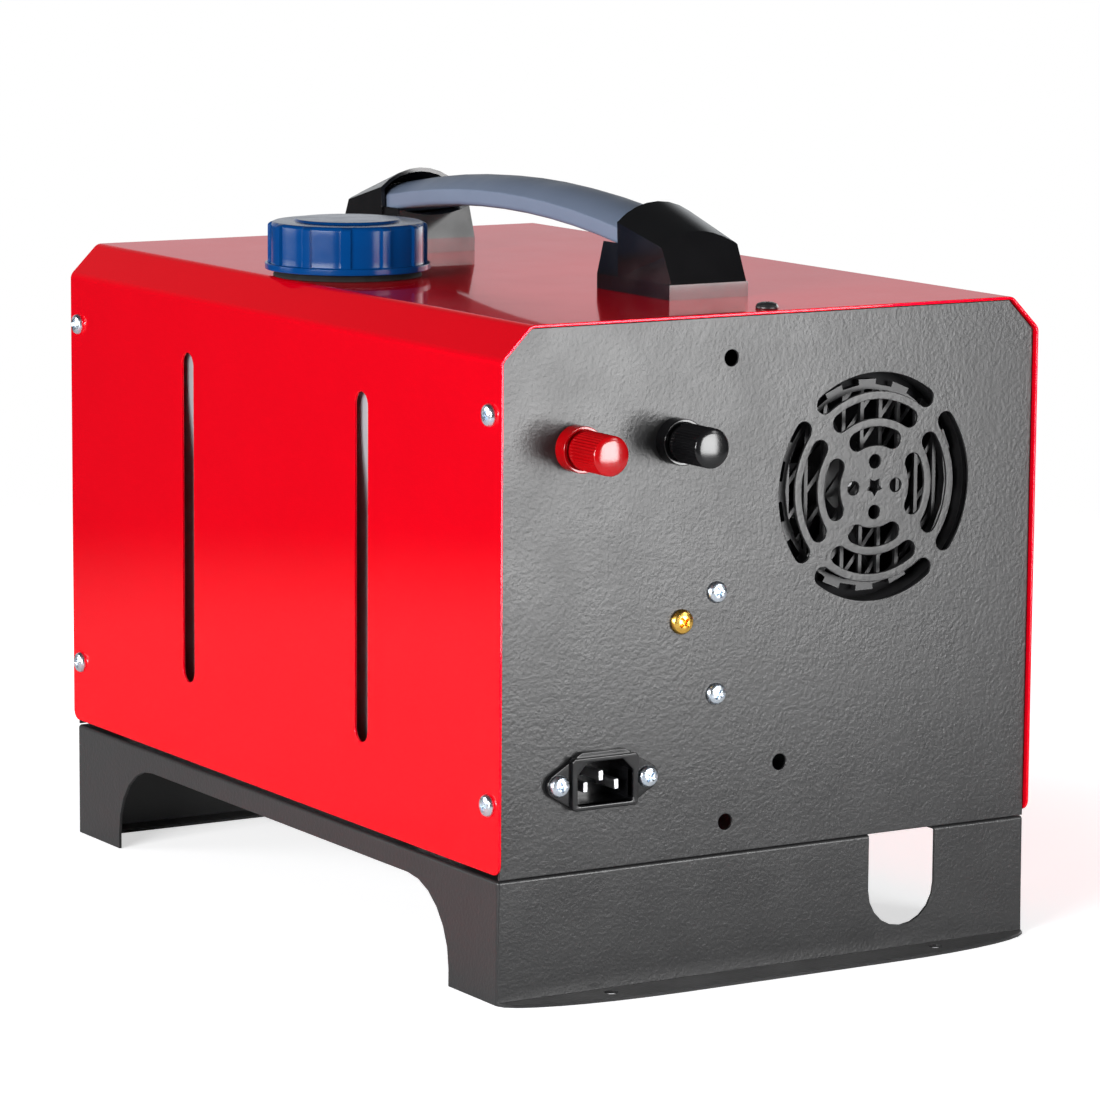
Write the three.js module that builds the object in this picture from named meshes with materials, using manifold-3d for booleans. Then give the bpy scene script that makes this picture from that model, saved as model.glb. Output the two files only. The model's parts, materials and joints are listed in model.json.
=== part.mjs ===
// A portable diesel air heater in a folded sheet-steel cabinet: a carrying handle, a fuel tank, and a
// heater core that draws air through the grille at one end and blows it hot out of the other.
// Millimetres. X runs across, Y from the socket end to the hot-air end, and Z is up.
import * as THREE from 'three';
import { mergeVertices } from 'three/addons/utils/BufferGeometryUtils.js';
import Module from 'manifold-3d';

const wasm = await Module();
wasm.setup();

// Cabinet
const cover_width = 250;
const cover_length = 368;
const cover_top = 261;
const corner_cut = 13;
const sheet = 1.2;
const panel_inset = 2;
const panel_lip = 15;
const cover_corner_radius = 4.5;

// Stand
const stand_height = 48.6;
const stand_seam = 2.3;
const stand_side_inset = 0.8;
const stand_end_inset = 2.2;
const arch_height = 39.1;
const arch_radius = 32;
const leg_rear = 39.1;
const leg_front = 42.5;
const foot_flange_reach = 17.2;
const foot_flange_straight = 100;
const front_lip = 13;
const notch_radius = 16;
const notch_floor = 10;
const notch_depth = 12;
const notch_from_right = 61;
const floor_hole_spacing = 153.4;
const floor_hole_radius = 3;
const floor_hole_reach = 7.2;

// Clearances and the overrun of a cutting shape
const seat_gap = 0.3;
const run_gap = 0.4;
const air_gap = 3;
const overrun = 2;
const weld_distance = 0.0001;

// Numbers of sides on round forms
const fine_sides = 24;
const plain_sides = 16;
const small_sides = 12;
const tiny_sides = 8;
const saddle_sides = 96;
const knob_sides = 14;
const button_sides = 10;
const hex_sides = 6;

// Shares that shape the outlines of small pieces
const edge_share = 0.3;
const screw_crown_shares = [[1, 0.35], [0.7, 0.85]];
const knob_crown_shares = [[0.92, 0.6], [0.6, 0.92]];
const hub_nose_radius_share = 0.7;
const hub_nose_length_share = 0.25;
const motor_boss_share = 0.35;
const motor_face_share = 0.85;
const ring_step_share = 0.7;
const bar_sink_share = 0.4;
const filter_end_share = 0.6;
const filter_band_share = 1.12;
const filter_band_from_share = 0.45;
const filter_band_to_share = 0.55;
const pump_neck_share = 0.5;
const pump_head_share = 0.7;
const line_rise_share = 1.4;
const round_limit_share = 0.4;

// Sight slots in the cover's sides
const slot_width = 10.5;
const slot_bottom = 85;
const slot_from_top = 36;
const slot_rear = 107.4;
const slot_front = 256.7;

// Screws of the cover
const side_screw_inset = 8;
const side_screw_low = 77.4;
const side_screw_from_top = 34;
const top_screw_inset = 8.8;
const screw_head_radius = 4.5;
const screw_head_height = 2.6;
const screw_shank_radius = 2;
const screw_length = 7;

// Heater core
const core_width = 112;
const core_height = 116;
const core_corner = 30;
const core_wall = 2.2;
const core_side_gap = 20.2;
const core_top_gap = 13.1;
const nose_length = 34;
const nose_spigot = 12;
const nose_radius = 41.5;

// Grille in the rear panel
const grille_hole_circle = 10.1;
const grille_hole_radius = 2.75;
const grille_slot_width = 7.4;
const grille_ring_radii = [20.15, 30.95, 41.65];
const grille_half_angles_deg = [25, 32, 35.4];
const star_radius = 4.7;
const star_waist = 3;

// Intake guard behind the grille
const guard_depth = 12;
const guard_shell_gap = 8.2;
const guard_wall = 2;
const guard_ring_gap = 5.6;
const guard_ring_width = 1.8;
const guard_tooth_height = 2.2;
const guard_tooth_count = 16;
const guard_bar = 1.6;
const guard_bar_pitch = 8.8;
const guard_brace_pitch = 9;
const guard_brace_angle_deg = 50;

// Mains inlet
const inlet_from_left = 46.3;
const inlet_height = 83.6;
const inlet_screw_spacing = 40;
const inlet_ear_width = 50;
const inlet_flange_height = 24;
const inlet_flange_thickness = 2.5;
const inlet_bezel_width = 29.6;
const inlet_bezel_height = 20.6;
const inlet_bezel_reach = 1.8;
const inlet_mouth_width = 25;
const inlet_mouth_height = 16.8;
const inlet_mouth_cut = 5;
const inlet_mouth_depth = 17;
const inlet_body_width = 27;
const inlet_body_height = 19.4;
const inlet_back_wall = 3;
const blade_width = 2;
const blade_height = 4;
const blade_spacing = 14;
const blade_earth_rise = 4;
const blade_setback = 3.6;
const blade_tab = 8;

// Battery posts
const post_from_left = 34;
const post_spacing = 45;
const post_from_top = 48;
const post_collar_radius = 9.25;
const post_collar_length = 6.5;
const post_rim = 1.6;
const post_stud_radius = 3;
const post_bush_radius = 5;
const post_back_length = 14;
const post_washer_radius = 6.8;
const post_washer_thickness = 1.2;
const knob_radius = 7.75;
const knob_length = 18.8;
const knob_dome = 0.9;
const knob_flutes = 20;
const flute_depth = 0.35;

// Other rear fasteners and holes: distance from the panel's left edge line, and height
const rear_screw_left = 98.8;
const rear_screw_upper = 152.6;
const rear_screw_lower = 112.6;
const brass_screw_left = 82.6;
const brass_screw_height = 142.3;
const rear_screw_hole = 2.2;
const vent_hole_radius = 3.2;
const vent_hole_high_left = 104.5;
const vent_hole_from_top = 17.5;
const vent_hole_mid_left = 129.2;
const vent_hole_mid = 82.6;
const vent_hole_low_left = 104.1;
const vent_hole_low = 61.2;

// Handle: heights count from the cover's top
const foot_width = 37;
const foot_length = 54;
const foot_from_end = 50;
const foot_band = 6;
const foot_block_height = 19.4;
const foot_block_top_width = 35.6;
const foot_inner_lean = 6;
const foot_end_lean = 0.5;
const saddle_sag = 3.3;
const hood_mouth_from_end = 88.2;
const hood_wall = 1.7;
const hood_width = 38.2;
const hood_shoulder = 27.9;
const hood_crest = 35.6;
const hood_outer_width = 35.2;
const hood_outer_shoulder = 18.4;
const hood_outer_crest = 22.5;
const grip_width = 32.2;
const grip_thickness = 12.6;
const grip_top = 38.1;
const grip_radius = 585;
const grip_side_height = 6.8;
const grip_edge_radius = 2;
const grip_insert = 16;

// Fuel tank and its cap
const tank_wall = 2.5;
const tank_side_gap = 4.5;
const tank_core_gap = 14;
const tank_rear = 86;
const tank_end_gap = 8;
const tank_top_gap = 20;
const tank_corner = 14;
const tank_edge_round = 5;
const filler_side_gap = 15.2;
const filler_from_rear = 196;
const neck_radius = 27.8;
const neck_wall = 3.4;
const neck_rise = 15.6;
const neck_hole_gap = 1.4;
const cap_gap = 3;
const cap_flange_width = 2.3;
const cap_flange_height = 2.6;
const cap_wall = 3.4;
const cap_rib_reach = 1.1;
const cap_rib_width = 4.2;
const cap_rib_count = 12;
const cap_height = 19.8;
const cap_roof = 3.2;
const cap_shoulder = 1.6;
const cap_disc_radius = 21.5;
const cap_disc_rise = 0.7;
const cap_thread_gap = 0.5;
const seal_thickness = 2;
const seal_width = 3;

// Air and fire parts inside the core
const motor_radius = 23;
const motor_length = 44;
const motor_plate = 3;
const shaft_radius = 3;
const fan_tip_gap = 2.1;
const fan_hub_radius = 17;
const fan_depth = 24;
const fan_blades = 6;
const fan_blade_thickness = 2;
const fan_blade_pitch_deg = 38;
const blower_shell_gap = 6.8;
const blower_depth = 20;
const blower_wall = 2.5;
const impeller_tip_gap = 6.5;
const impeller_vanes = 8;
const impeller_vane_height = 10;
const impeller_vane_thickness = 2;
const impeller_plate = 2;
const exchanger_shell_gap = 3.8;
const exchanger_wall = 13;
const exchanger_fins = 12;
const exchanger_fin_height = 9;
const exchanger_fin_thickness = 2.6;
const exchanger_front_gap = 6;
const exchanger_end_wall = 5;
const exchanger_flange_width = 84;
const exchanger_flange_length = 112;
const exchanger_flange_drop = 3;
const burner_wall = 1.6;
const burner_length_share = 0.7;
const burner_rim = 3;
const glow_plug_radius = 5;
const glow_plug_tip_radius = 2.4;
const glow_plug_hex = 7;
const glow_plug_body = 12;
const gasket_thickness = 2;
const stub_radius = 12;
const stub_wall = 1.5;
const stub_length = 26;
const stub_spacing = 52;
const fuel_stub_radius = 2.5;
const fuel_stub_length = 20;
const fuel_stub_offset = 28;
const bracket_sheet = 2;
const bracket_inset = 3;
const bracket_length = 210;
const bracket_foot = 14;
const bracket_opening_side = 20;
const bracket_opening_foot = 10;
const bracket_opening_top = 14;
const bracket_opening_round = 10;
const pipe_hole_gap = 5;
const control_length = 40;
const control_height = 12;

// Hot-air outlet
const duct_radius = 37.5;
const duct_wall = 2;
const outlet_flange_radius = 52;
const outlet_flange_thickness = 3;
const louvre_depth = 14;
const louvre_wall = 2;
const louvre_blades = 5;
const louvre_blade_thickness = 1.8;
const louvre_tilt_deg = 30;

// Fuel feed under the core
const feed_height = 21;
const hose_radius = 3.6;
const nipple_radius = 2.2;
const nipple_length = 12;
const filter_radius = 9.5;
const filter_length = 38;
const pump_radius = 13.5;
const pump_length = 62;
const pump_head_length = 18;
const pump_gap = 16;
const clamp_width = 14;
const clamp_lining = 2.5;
const clamp_foot = 12;
const pump_side_gap = 3.5;
const tap_window_gap = 19.8;
const tap_hex_radius = 6;
const tap_hex_length = 5;
const feed_bend = 14;

// Power supply
const supply_core_gap = 16.4;
const supply_depth = 38;
const supply_height = 118;
const supply_from_rear = 38;
const supply_terminal_height = 12;
const supply_terminal_depth = 10;
const supply_side_gap = 7;

// Controller
const panel_window_height = 48;
const controller_rim = 4;
const controller_side_gap = 14;
const controller_outlet_gap = 14.6;
const controller_from_top = 56;
const controller_reach = 5;
const controller_depth = 13;
const controller_corner = 5;
const screen_width_share = 0.56;
const screen_height_share = 0.54;
const screen_rise_share = 0.15;
const screen_thickness = 2;
const screen_recess = 1;
const button_pitch_share = 0.19;
const button_radius_share = 0.28;
const button_drop_share = 0.32;
const button_reach = 1.6;
const button_length = 8;
const button_travel = 1;

// Sizes worked out from those above
const half_width = cover_width / 2;
const half_length = cover_length / 2;
const inner_half = half_width - sheet;
const rear_face = -half_length + panel_inset;
const front_face = half_length - panel_inset;
const rear_inside = rear_face + sheet;
const front_inside = front_face - sheet;
const cover_bottom = stand_height + stand_seam;
const panel_bottom = stand_height + seat_gap;
const core_x = inner_half - core_side_gap - core_width / 2;
const core_z = cover_top - sheet - core_top_gap - core_height / 2;
const core_left = core_x - core_width / 2;
const core_bottom = core_z - core_height / 2;
const core_bore = Math.min(core_width, core_height) / 2 - core_wall;
const guard_bore_radius = core_bore - guard_shell_gap;
const guard_ring_radius = guard_bore_radius - guard_ring_gap;
const fan_radius = guard_bore_radius - fan_tip_gap;
const blower_radius = core_bore - blower_shell_gap;
const impeller_radius = blower_radius - blower_wall - impeller_tip_gap;
const exchanger_radius = core_bore - exchanger_shell_gap - exchanger_fin_height;
const exchanger_bore = exchanger_radius - exchanger_wall;
const bracket_width = core_width - 2 * bracket_inset;
const guard_rear = rear_inside + air_gap;
const shell_rear = guard_rear + guard_depth + seat_gap;
const shell_front = front_inside - air_gap;
const nose_start = shell_front - nose_spigot - nose_length;
const filler_x = -half_width + filler_side_gap + neck_radius;
const filler_y = -half_length + filler_from_rear;
const cap_bottom = cover_top + cap_gap;
const cap_body_radius = neck_radius + cap_thread_gap + cap_wall;
const cap_flange_radius = cap_body_radius + cap_flange_width;
const slot_top = cover_top - slot_from_top;
const side_screw_high = cover_top - side_screw_from_top;
const vent_hole_high = cover_top - vent_hole_from_top;
const post_z = cover_top - post_from_top;
const post_reach = post_collar_length + post_washer_thickness + knob_length + 2 * seat_gap;
const gasket_top = core_bottom - exchanger_flange_drop;
const bracket_top = gasket_top - gasket_thickness;
const feed_z = stand_height + feed_height;
const feed_x = core_x - bracket_width / 2 + pump_side_gap + pump_radius;
const supply_left = -inner_half + supply_side_gap;
const supply_right = core_left - supply_core_gap;
const bezel_left = -half_width + controller_side_gap;
const bezel_right = core_x - outlet_flange_radius - controller_outlet_gap;
const controller_x = (bezel_left + bezel_right) / 2;
const controller_z = cover_top - controller_from_top;
const panel_window_width = bezel_right - bezel_left - 2 * controller_rim;
const screen_width = screen_width_share * panel_window_width;
const screen_height = screen_height_share * panel_window_height;
const screen_z = controller_z + screen_rise_share * panel_window_height;
const button_pitch = button_pitch_share * panel_window_width;
const button_radius = button_radius_share * button_pitch;
const button_z = controller_z - button_drop_share * panel_window_height;

// Colours of the photographed object
const finish = {
  red_paint: { color: 0xe0101c, roughness: 0.28, metalness: 0 },
  black_powder: { color: 0x1c1c1e, roughness: 0.55, metalness: 0.1 },
  black_plastic: { color: 0x111214, roughness: 0.35, metalness: 0 },
  grey_grip: { color: 0x76849b, roughness: 0.5, metalness: 0 },
  blue_plastic: { color: 0x0b3f86, roughness: 0.3, metalness: 0 },
  red_plastic: { color: 0xc8101c, roughness: 0.3, metalness: 0 },
  zinc: { color: 0xc9ced2, roughness: 0.3, metalness: 0.9 },
  brass: { color: 0xc9a04a, roughness: 0.3, metalness: 0.9 },
  cast_aluminium: { color: 0x9fa3a6, roughness: 0.6, metalness: 0.7 },
  steel: { color: 0x8d9296, roughness: 0.4, metalness: 0.9 },
  rubber: { color: 0x1a1a1a, roughness: 0.8, metalness: 0 },
  clear_plastic: { color: 0xd9dde0, roughness: 0.2, metalness: 0 },
  tank_plastic: { color: 0xc9c9c2, roughness: 0.35, metalness: 0 },
  circuit_green: { color: 0x1f5a34, roughness: 0.5, metalness: 0 },
  screen_glass: { color: 0x22384a, roughness: 0.1, metalness: 0 },
};

const toRadians = THREE.MathUtils.degToRad;

// A closed three.js geometry as a solid, with its faces turned outwards
function solid(geometry) {
  const bare = geometry.clone();
  bare.deleteAttribute('normal');
  bare.deleteAttribute('uv');
  const welded = mergeVertices(bare, weld_distance);
  const places = welded.attributes.position.array;
  const corners = welded.index.array;
  const faces = [];
  let volume = 0;
  const at = (i) => new THREE.Vector3().fromArray(places, i * 3);
  for (let i = 0; i < corners.length; i += 3) {
    const [a, b, c] = [corners[i], corners[i + 1], corners[i + 2]];
    if (a !== b && b !== c && c !== a) {
      faces.push(a, b, c);
      volume += at(a).dot(at(b).cross(at(c)));
    }
  }
  if (volume < 0) faces.reverse();
  const mesh = { numProp: 3, vertProperties: new Float32Array(places), triVerts: new Uint32Array(faces) };
  return new wasm.Manifold(new wasm.Mesh(mesh));
}

// A solid back as a three.js geometry
function geometryOf(body) {
  const mesh = body.getMesh();
  const geometry = new THREE.BufferGeometry();
  geometry.setAttribute('position', new THREE.BufferAttribute(new Float32Array(mesh.vertProperties), 3));
  geometry.setIndex(new THREE.BufferAttribute(new Uint32Array(mesh.triVerts), 1));
  geometry.computeVertexNormals();
  return geometry;
}

function join(...geometries) {
  return geometryOf(geometries.map(solid).reduce((sum, piece) => sum.add(piece)));
}

function cut(geometry, ...tools) {
  return geometryOf(tools.map(solid).reduce((rest, tool) => rest.subtract(tool), solid(geometry)));
}

function common(first, second) {
  return geometryOf(solid(first).intersect(solid(second)));
}

// A block between two values on each axis
function block(x0, x1, y0, y1, z0, z1) {
  const shape = new THREE.BoxGeometry(x1 - x0, y1 - y0, z1 - z0);
  return shape.translate((x0 + x1) / 2, (y0 + y1) / 2, (z0 + z1) / 2);
}

// Round bars along each axis
function rodX(radius, x0, x1, y, z, sides = small_sides) {
  const rod = new THREE.CylinderGeometry(radius, radius, x1 - x0, sides).rotateZ(Math.PI / 2);
  return rod.translate((x0 + x1) / 2, y, z);
}

function rodY(radius, y0, y1, x, z, sides = plain_sides) {
  return new THREE.CylinderGeometry(radius, radius, y1 - y0, sides).translate(x, (y0 + y1) / 2, z);
}

function rodZ(radius, z0, z1, x, y, sides = plain_sides) {
  const rod = new THREE.CylinderGeometry(radius, radius, z1 - z0, sides).rotateX(Math.PI / 2);
  return rod.translate(x, y, (z0 + z1) / 2);
}

// A turned piece from [radius, height] pairs, its axis along +Y
function turned(profile, sides = plain_sides) {
  const closed = profile[0][0] === 0 ? profile : [...profile, profile[0]];
  return new THREE.LatheGeometry(closed.map(([radius, height]) => new THREE.Vector2(radius, height)), sides);
}

function turnedZ(profile, x, y, z, sides = plain_sides) {
  return turned(profile, sides).rotateX(Math.PI / 2).translate(x, y, z);
}

// Prisms: an outline in the plane across the named axis, pushed along that axis
function prismX(shape, x0, x1) {
  const turn = new THREE.Matrix4().makeBasis(
    new THREE.Vector3(0, 1, 0), new THREE.Vector3(0, 0, 1), new THREE.Vector3(1, 0, 0));
  const prism = new THREE.ExtrudeGeometry(shape, { depth: x1 - x0, bevelEnabled: false });
  return prism.applyMatrix4(turn).translate(x0, 0, 0);
}

function prismY(shape, y0, y1) {
  const prism = new THREE.ExtrudeGeometry(shape, { depth: y1 - y0, bevelEnabled: false });
  return prism.rotateX(Math.PI / 2).translate(0, y1, 0);
}

function prismZ(shape, z0, z1) {
  return new THREE.ExtrudeGeometry(shape, { depth: z1 - z0, bevelEnabled: false }).translate(0, 0, z0);
}

function outline(pairs) {
  return new THREE.Shape(pairs.map(([a, b]) => new THREE.Vector2(a, b)));
}

// Points of an arc, both ends included
function arc(a, b, radius, from, to, steps) {
  return Array.from({ length: steps + 1 }, (_, i) => {
    const angle = from + ((to - from) * i) / steps;
    return new THREE.Vector2(a + radius * Math.cos(angle), b + radius * Math.sin(angle));
  });
}

function circle(a, b, radius, sides = plain_sides) {
  return arc(a, b, radius, 0, 2 * Math.PI, sides).slice(0, -1);
}

// Corners of a rectangle about its middle
function rectangle(a, b, half_a, half_b) {
  const corners = [[-1, -1], [1, -1], [1, 1], [-1, 1]];
  return corners.map(([u, v]) => new THREE.Vector2(a + u * half_a, b + v * half_b));
}

// Points of a rectangle with round corners
function roundedBox(a0, a1, b0, b1, radius, steps = 4) {
  const quarter = Math.PI / 2;
  return [
    ...arc(a1 - radius, b0 + radius, radius, -quarter, 0, steps),
    ...arc(a1 - radius, b1 - radius, radius, 0, quarter, steps),
    ...arc(a0 + radius, b1 - radius, radius, quarter, 2 * quarter, steps),
    ...arc(a0 + radius, b0 + radius, radius, 2 * quarter, 3 * quarter, steps),
  ];
}

// The same closed run of points, with its long sides split evenly
function subdivided(points, longest) {
  return points.flatMap((p, i) => {
    const next = points[(i + 1) % points.length];
    const pieces = Math.max(1, Math.ceil(p.distanceTo(next) / longest));
    return Array.from({ length: pieces }, (_, k) => p.clone().lerp(next, k / pieces));
  });
}

// A skin through rings of equally many points, closed by a flat cap at each end
function loft(rings) {
  const size = rings[0].length;
  const faces = [];
  for (let r = 0; r + 1 < rings.length; r += 1) {
    for (let i = 0; i < size; i += 1) {
      const [a, b] = [r * size + i, r * size + ((i + 1) % size)];
      faces.push(a, b, b + size, a, b + size, a + size);
    }
  }
  const last = (rings.length - 1) * size;
  for (let i = 1; i + 1 < size; i += 1) {
    faces.push(0, i + 1, i, last, last + i, last + i + 1);
  }
  const geometry = new THREE.BufferGeometry();
  const places = rings.flat().flatMap((p) => p.toArray());
  geometry.setAttribute('position', new THREE.Float32BufferAttribute(places, 3));
  geometry.setIndex(faces);
  return geometry;
}

const group = new THREE.Group();

function add(name, geometry, look) {
  const mesh = new THREE.Mesh(geometryOf(solid(geometry)), new THREE.MeshStandardMaterial(finish[look]));
  mesh.name = name;
  group.add(mesh);
  return mesh;
}

// Outline of the cabinet's cross-section, drawn in by a distance
function cabinetOutline(inset, bottom) {
  const x = half_width - inset;
  const top = cover_top - inset;
  const leg = corner_cut - inset * (2 - Math.SQRT2);
  return [[-x, bottom], [x, bottom], [x, top - leg], [x - leg, top], [-x + leg, top], [-x, top - leg]];
}

// Stand: a folded tray with arched sides, standing upside down under the cabinet
function footFlange(skirt_y) {
  const straight = foot_flange_straight / 2;
  const half = half_width - stand_side_inset;
  const quarter = Array.from({ length: 9 }, (_, i) => {
    const angle = (i / 8) * (Math.PI / 2);
    return [straight + (half - straight) * Math.sin(angle), skirt_y - foot_flange_reach * Math.cos(angle)];
  });
  const left = quarter.map(([x, y]) => [-x, y]).reverse();
  const shape = outline([...left, ...quarter]);
  const hole_y = skirt_y - floor_hole_reach;
  for (const side of [-1, 1]) {
    const hole = circle((side * floor_hole_spacing) / 2, hole_y, floor_hole_radius, tiny_sides);
    shape.holes.push(new THREE.Path(hole));
  }
  return prismZ(shape, 0, sheet);
}

function baseStand() {
  const half = half_width - stand_side_inset;
  const y0 = -half_length + stand_end_inset;
  const y1 = half_length - stand_end_inset;
  const tray = cut(
    block(-half, half, y0, y1, 0, stand_height),
    block(-half + sheet, half - sheet, y0 + sheet, y1 - sheet, -overrun, stand_height - sheet),
  );
  const arch_rear = -half_length + leg_rear;
  const arch_front = half_length - leg_front;
  const quarter = Math.PI / 2;
  const arch = new THREE.Shape([
    new THREE.Vector2(arch_rear, -overrun), new THREE.Vector2(arch_front, -overrun),
    ...arc(arch_front - arch_radius, arch_height - arch_radius, arch_radius, 0, quarter, 6),
    ...arc(arch_rear + arch_radius, arch_height - arch_radius, arch_radius, quarter, 2 * quarter, 6),
  ]);
  const notch_x = half_width - notch_from_right;
  const notch_centre = notch_floor + notch_radius;
  const notch = new THREE.Shape([
    ...arc(notch_x, notch_centre, notch_radius, Math.PI, 2 * Math.PI, 10),
    new THREE.Vector2(notch_x + notch_radius, stand_height + overrun),
    new THREE.Vector2(notch_x - notch_radius, stand_height + overrun),
  ]);
  const lip = block(-half + sheet, half - sheet, y1 - front_lip, y1 - sheet / 2, 0, sheet);
  const pipe_holes = stub_places.map(([, y]) => (
    rodZ(stub_radius + pipe_hole_gap, stand_height / 2, stand_height + overrun, core_x, y)));
  return cut(
    join(tray, footFlange(y0 + sheet / 2), lip),
    prismX(arch, -half_width, half_width),
    prismY(notch, y0 - overrun, y0 + notch_depth),
    ...pipe_holes,
  );
}

// Cover: one red sheet bent over the top and both sides
function wrapCover() {
  const profile = outline([...cabinetOutline(0, cover_bottom).slice(1), [-half_width, cover_bottom],
    ...inside(cabinetOutline(sheet, cover_bottom))]);
  const quarter = Math.PI / 2;
  const r = cover_corner_radius;
  const side = new THREE.Shape([
    ...arc(half_length - r, cover_bottom + r, r, -quarter, 0, 2),
    new THREE.Vector2(half_length, cover_top + overrun), new THREE.Vector2(-half_length, cover_top + overrun),
    ...arc(-half_length + r, cover_bottom + r, r, 2 * quarter, 3 * quarter, 2),
  ]);
  const folded = common(prismY(profile, -half_length, half_length), prismX(side, -half_width, half_width));
  const slots = [slot_rear, slot_front].map((y) => prismX(new THREE.Shape(slotPoints(y - half_length)),
    -half_width - overrun, half_width + overrun));
  const screw_holes = sideScrewPlaces().map(([y, z]) => rodX(screw_shank_radius + seat_gap,
    -half_width - overrun, half_width + overrun, y, z, tiny_sides));
  const top_holes = topScrewPlaces().map((y) => rodZ(screw_shank_radius + seat_gap,
    cover_top - 2 * sheet, cover_top + overrun, 0, y, tiny_sides));
  const filler = rodZ(neck_radius + neck_hole_gap, cover_top - 2 * sheet, cover_top + overrun,
    filler_x, filler_y, fine_sides);
  return cut(folded, ...slots, ...screw_holes, ...top_holes, filler);
}

// The inner side of a folded sheet's outline, from its left foot round to its right foot
function inside([left, right, ...upper]) {
  return [left, ...upper.reverse(), right];
}

function slotPoints(y) {
  const r = slot_width / 2;
  return [...arc(y, slot_top - r, r, 0, Math.PI, 5), ...arc(y, slot_bottom + r, r, Math.PI, 2 * Math.PI, 5)];
}

function sideScrewPlaces() {
  const y = half_length - side_screw_inset;
  return [[-y, side_screw_low], [-y, side_screw_high], [y, side_screw_low], [y, side_screw_high]];
}

function topScrewPlaces() {
  return [-half_length + top_screw_inset, half_length - top_screw_inset];
}

// A pan-head screw pointing down, the seat of its head at height 0
function panScrew() {
  const r = screw_head_radius;
  const h = screw_head_height;
  const profile = [[0, -screw_length], [screw_shank_radius, -screw_length], [screw_shank_radius, 0], [r, 0],
    ...screw_crown_shares.map(([across, up]) => [across * r, up * h]), [0, h]];
  return turned(profile, tiny_sides);
}

function addCoverScrews() {
  let count = 0;
  for (const side of [-1, 1]) {
    for (const [y, z] of sideScrewPlaces()) {
      count += 1;
      const screw = panScrew().rotateZ((-side * Math.PI) / 2).translate(side * half_width, y, z);
      add(`cover_screw_${count}`, screw, 'zinc');
    }
  }
  const names = ['top_screw_rear', 'top_screw_front'];
  topScrewPlaces().forEach((y, i) => {
    add(names[i], panScrew().rotateX(Math.PI / 2).translate(0, y, cover_top), 'black_plastic');
  });
}

// An end panel: a plate with return lips all round, on the inner side of its face
function endPanel(face, inward, holes) {
  const inset = sheet + seat_gap;
  const points = cabinetOutline(inset, panel_bottom);
  const shape = outline(points);
  shape.holes.push(...holes.map((hole) => new THREE.Path(hole)));
  const back = face + inward * sheet;
  const lip_end = face + inward * panel_lip;
  const [lip0, lip1] = [Math.min(back, lip_end), Math.max(back, lip_end)];
  const [plate0, plate1] = [Math.min(face, back), Math.max(face, back)];
  const x = half_width - inset;
  const top = cover_top - inset;
  const leg = corner_cut - inset * (2 - Math.SQRT2);
  const tuck = sheet / 2;
  const [root0, root1] = inward > 0 ? [lip0 - tuck, lip1] : [lip0, lip1 + tuck];
  const lips = [
    block(-x, -x + sheet, root0, root1, panel_bottom + leg, top - leg),
    block(x - sheet, x, root0, root1, panel_bottom + leg, top - leg),
    block(-x + leg, x - leg, root0, root1, top - sheet, top),
    block(-x + leg, x - leg, root0, root1, panel_bottom, panel_bottom + sheet),
  ];
  const screw_y = inward > 0 ? sideScrewPlaces()[0][0] : sideScrewPlaces()[2][0];
  const side_holes = [side_screw_low, side_screw_high].map((z) => rodX(screw_shank_radius + seat_gap,
    -half_width, half_width, screw_y, z, tiny_sides));
  const top_y = inward > 0 ? topScrewPlaces()[0] : topScrewPlaces()[1];
  const top_hole = rodZ(screw_shank_radius + seat_gap, top - 2 * sheet, top + overrun, 0, top_y, tiny_sides);
  return cut(join(prismY(shape, plate0, plate1), ...lips), ...side_holes, top_hole);
}

// One curved slot with round ends, centred on an angle
function arcSlot(radius, half_angle, middle, ring_steps) {
  const r = grille_slot_width / 2;
  const [from, to] = [middle - half_angle, middle + half_angle];
  const steps = ring_steps;
  const start = [core_x + radius * Math.cos(from), core_z + radius * Math.sin(from)];
  const end = [core_x + radius * Math.cos(to), core_z + radius * Math.sin(to)];
  return [
    ...arc(core_x, core_z, radius + r, from, to, steps),
    ...arc(...end, r, to, to + Math.PI, 4).slice(1, -1),
    ...arc(core_x, core_z, radius - r, to, from, steps),
    ...arc(...start, r, from + Math.PI, from + 2 * Math.PI, 4).slice(1, -1),
  ];
}

// The grille's holes: a star, four round holes and three rings of curved slots
function grilleHoles() {
  const quarter = Math.PI / 2;
  const star = Array.from({ length: 10 }, (_, i) => {
    const radius = i % 2 === 0 ? star_radius : star_waist;
    const angle = -quarter + (i * Math.PI) / 5;
    return new THREE.Vector2(core_x + radius * Math.cos(angle), core_z + radius * Math.sin(angle));
  });
  const holes = [star];
  for (let side = 0; side < 4; side += 1) {
    const angle = side * quarter;
    const x = core_x + grille_hole_circle * Math.cos(angle);
    const z = core_z + grille_hole_circle * Math.sin(angle);
    holes.push(circle(x, z, grille_hole_radius, tiny_sides));
    grille_ring_radii.forEach((radius, ring) => {
      holes.push(arcSlot(radius, toRadians(grille_half_angles_deg[ring]), angle, 4 + ring));
    });
  }
  return holes;
}

const inlet_x = -half_width + inlet_from_left;
const post_places = [
  ['positive', -half_width + post_from_left],
  ['negative', -half_width + post_from_left + post_spacing],
];
const stub_places = [['exhaust', -stub_spacing / 2], ['intake', stub_spacing / 2]].map(([name, shift]) => (
  [name, exchangerFlangeY() + shift]));

function exchangerFlangeY() {
  const rear = shell_rear + fan_depth + motor_length + blower_depth;
  return (rear + nose_start) / 2;
}

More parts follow.
